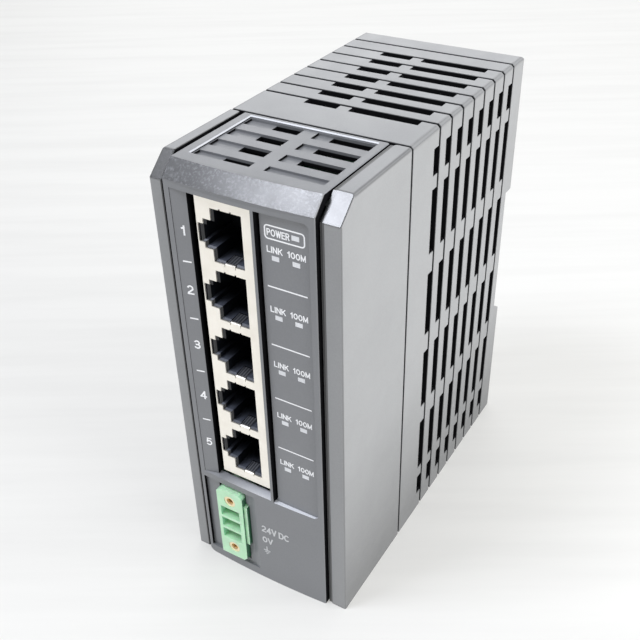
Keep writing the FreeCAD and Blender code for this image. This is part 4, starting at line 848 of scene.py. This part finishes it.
def makeLegs(name, package, spacing, wide, sides, inset):
    low, high = cornersOf(package)
    boardLow, boardHigh = cornersOf("main_board")
    facingX = 1 if (low[0] + high[0]) > (boardLow[0] + boardHigh[0]) else -1
    boardX = boardHigh[0] if facingX > 0 else boardLow[0]
    points, faces, start = [], [], 0
    for sideY, sideZ in sides:
        first, last = (low[2], high[2]) if sideY else (low[1], high[1])
        spots = np.arange(first + inset, last - inset + 0.01, spacing)
        origin = (high[1] if sideY > 0 else low[1] if sideY < 0 else 0.0,
                  high[2] if sideZ > 0 else low[2] if sideZ < 0 else 0.0)
        grid, quads = legRow(boardX, facingX, origin, (sideY, sideZ), spots, wide)
        points.append(grid)
        faces.append(quads + start)
        start += len(grid)
    piece = meshPiece(name, np.concatenate(points) * mm, np.concatenate(faces), tinned)
    cleaned = bmesh.new()
    cleaned.from_mesh(piece.data)
    bmesh.ops.recalc_face_normals(cleaned, faces=cleaned.faces)
    cleaned.to_mesh(piece.data)
    cleaned.free()


tinned = metal("tinnedLeg", (0.78, 0.78, 0.76), 0.3)
makeThreads()
makeSpring()
makeLegs("switch_legs", "switch_chip", **legs["switch"])
makeLegs("memory_legs", "memory_chip", **legs["memory"])
for index in range(1, ports + 1):
    makeLegs("magnetics_legs_%d" % index, "magnetics_%d" % index, **legs["magnetics"])
print("threads, spring and legs made")


# Stage: a pale floor, soft lights and the camera.

view = {"place": (91.6, -163.7, 180.4), "around": 31.89, "above": 34.55, "roll": -1.57, "lens": 50.67,
        "sensor": 36.0, "near": 10.0}


def makeCamera():
    around, above, roll = (math.radians(view[key]) for key in ("around", "above", "roll"))
    back = Vector((math.sin(around) * math.cos(above), -math.cos(around) * math.cos(above),
                   math.sin(above)))
    side = (-back).cross(Vector((0, 0, 1))).normalized()
    up = side.cross(-back)
    turnedSide = math.cos(roll) * side + math.sin(roll) * up
    turnedUp = math.cos(roll) * up - math.sin(roll) * side
    data = bpy.data.cameras.new("camera")
    data.lens = view["lens"]
    data.sensor_width = view["sensor"]
    data.clip_start = view["near"] * mm
    camera = bpy.data.objects.new("camera", data)
    place = Vector(view["place"]) * mm
    camera.matrix_world = Matrix([*zip(turnedSide, turnedUp, back, place), (0, 0, 0, 1)])
    bpy.context.scene.collection.objects.link(camera)
    bpy.context.scene.camera = camera


floorLook = {"reach": 1.5, "colour": (0.45, 0.449, 0.44), "glow": (1.0, 0.995, 0.97), "glowStrength": 0.36,
             "rough": 0.6, "turn": 0.54, "streak": 12.0, "drawn": 14.0, "dim": 0.95, "span": (0.3, 0.6)}


# A pale table with a drawn-out grain, lit evenly enough that only a faint shadow shows round the object.
def makeFloor():
    mesh = bpy.data.meshes.new("floor")
    reach = floorLook["reach"]
    mesh.from_pydata([(-reach, -reach, 0), (reach, -reach, 0), (reach, reach, 0), (-reach, reach, 0)], [],
                     [(0, 1, 2, 3)])
    material, tree, shader = newMaterial("paleFloor")
    place = objectPlace(tree)
    along = addNode(tree, "ShaderNodeMapping", {"vector_type": "TEXTURE"}, {
        "Vector": place, "Rotation": (0.0, 0.0, floorLook["turn"]),
        "Scale": (floorLook["drawn"], 1.0, 1.0)}).outputs[0]
    grain = noiseOf(tree, along, floorLook["streak"], 5.0, 0.6)
    tone, glow = (rampOf(tree, grain, floorLook["span"], shade(floorLook[key], floorLook["dim"]),
                         floorLook[key]) for key in ("colour", "glow"))
    setShader(tree, shader, colour=tone, rough=floorLook["rough"])
    tree.links.new(glow, shader.inputs["Emission Color"])
    shader.inputs["Emission Strength"].default_value = floorLook["glowStrength"]
    mesh.materials.append(material)
    floor = bpy.data.objects.new("floor", mesh)
    bpy.context.scene.collection.objects.link(floor)


def softLight(name, place, aim, size, power, colour):
    data = bpy.data.lights.new(name, "AREA")
    data.shape = "RECTANGLE"
    data.size, data.size_y = size
    data.energy = power
    data.color = colour
    light = bpy.data.objects.new(name, data)
    light.location = place
    light.rotation_euler = (Vector(aim) - Vector(place)).to_track_quat("-Z", "Y").to_euler()
    bpy.context.scene.collection.objects.link(light)


room = {"strength": 0.54, "colour": (0.97, 0.985, 1.0), "aim": (0, 0, 0.05)}
lights = {
    "skyPanel": {"place": (-0.05, 0.1, 0.9), "size": (1.0, 1.0), "power": 1.5},
    "windowSide": {"place": (0.5, 0.03, 0.2), "size": (0.5, 0.22), "power": 2.75},
    "frontSoftbox": {"place": (-0.31, -0.36, 0.8), "size": (0.3, 0.3), "power": 4.0,
                     "colour": (0.88, 0.91, 1.0)},
    "backPanel": {"place": (-0.5, 1.15, 0.42), "size": (1.3, 0.6), "power": 4.5},
}


def makeRoom():
    world = bpy.data.worlds.new("softRoom")
    world.use_nodes = True
    background = world.node_tree.nodes["Background"]
    background.inputs["Color"].default_value = (*room["colour"], 1.0)
    background.inputs["Strength"].default_value = room["strength"]
    bpy.context.scene.world = world


makeCamera()
makeFloor()
makeRoom()
for name, light in lights.items():
    softLight(name, light["place"], room["aim"], light["size"], light["power"],
              light.get("colour", (1, 1, 1)))
bpy.context.scene.view_settings.view_transform = "Standard"
print("stage set")
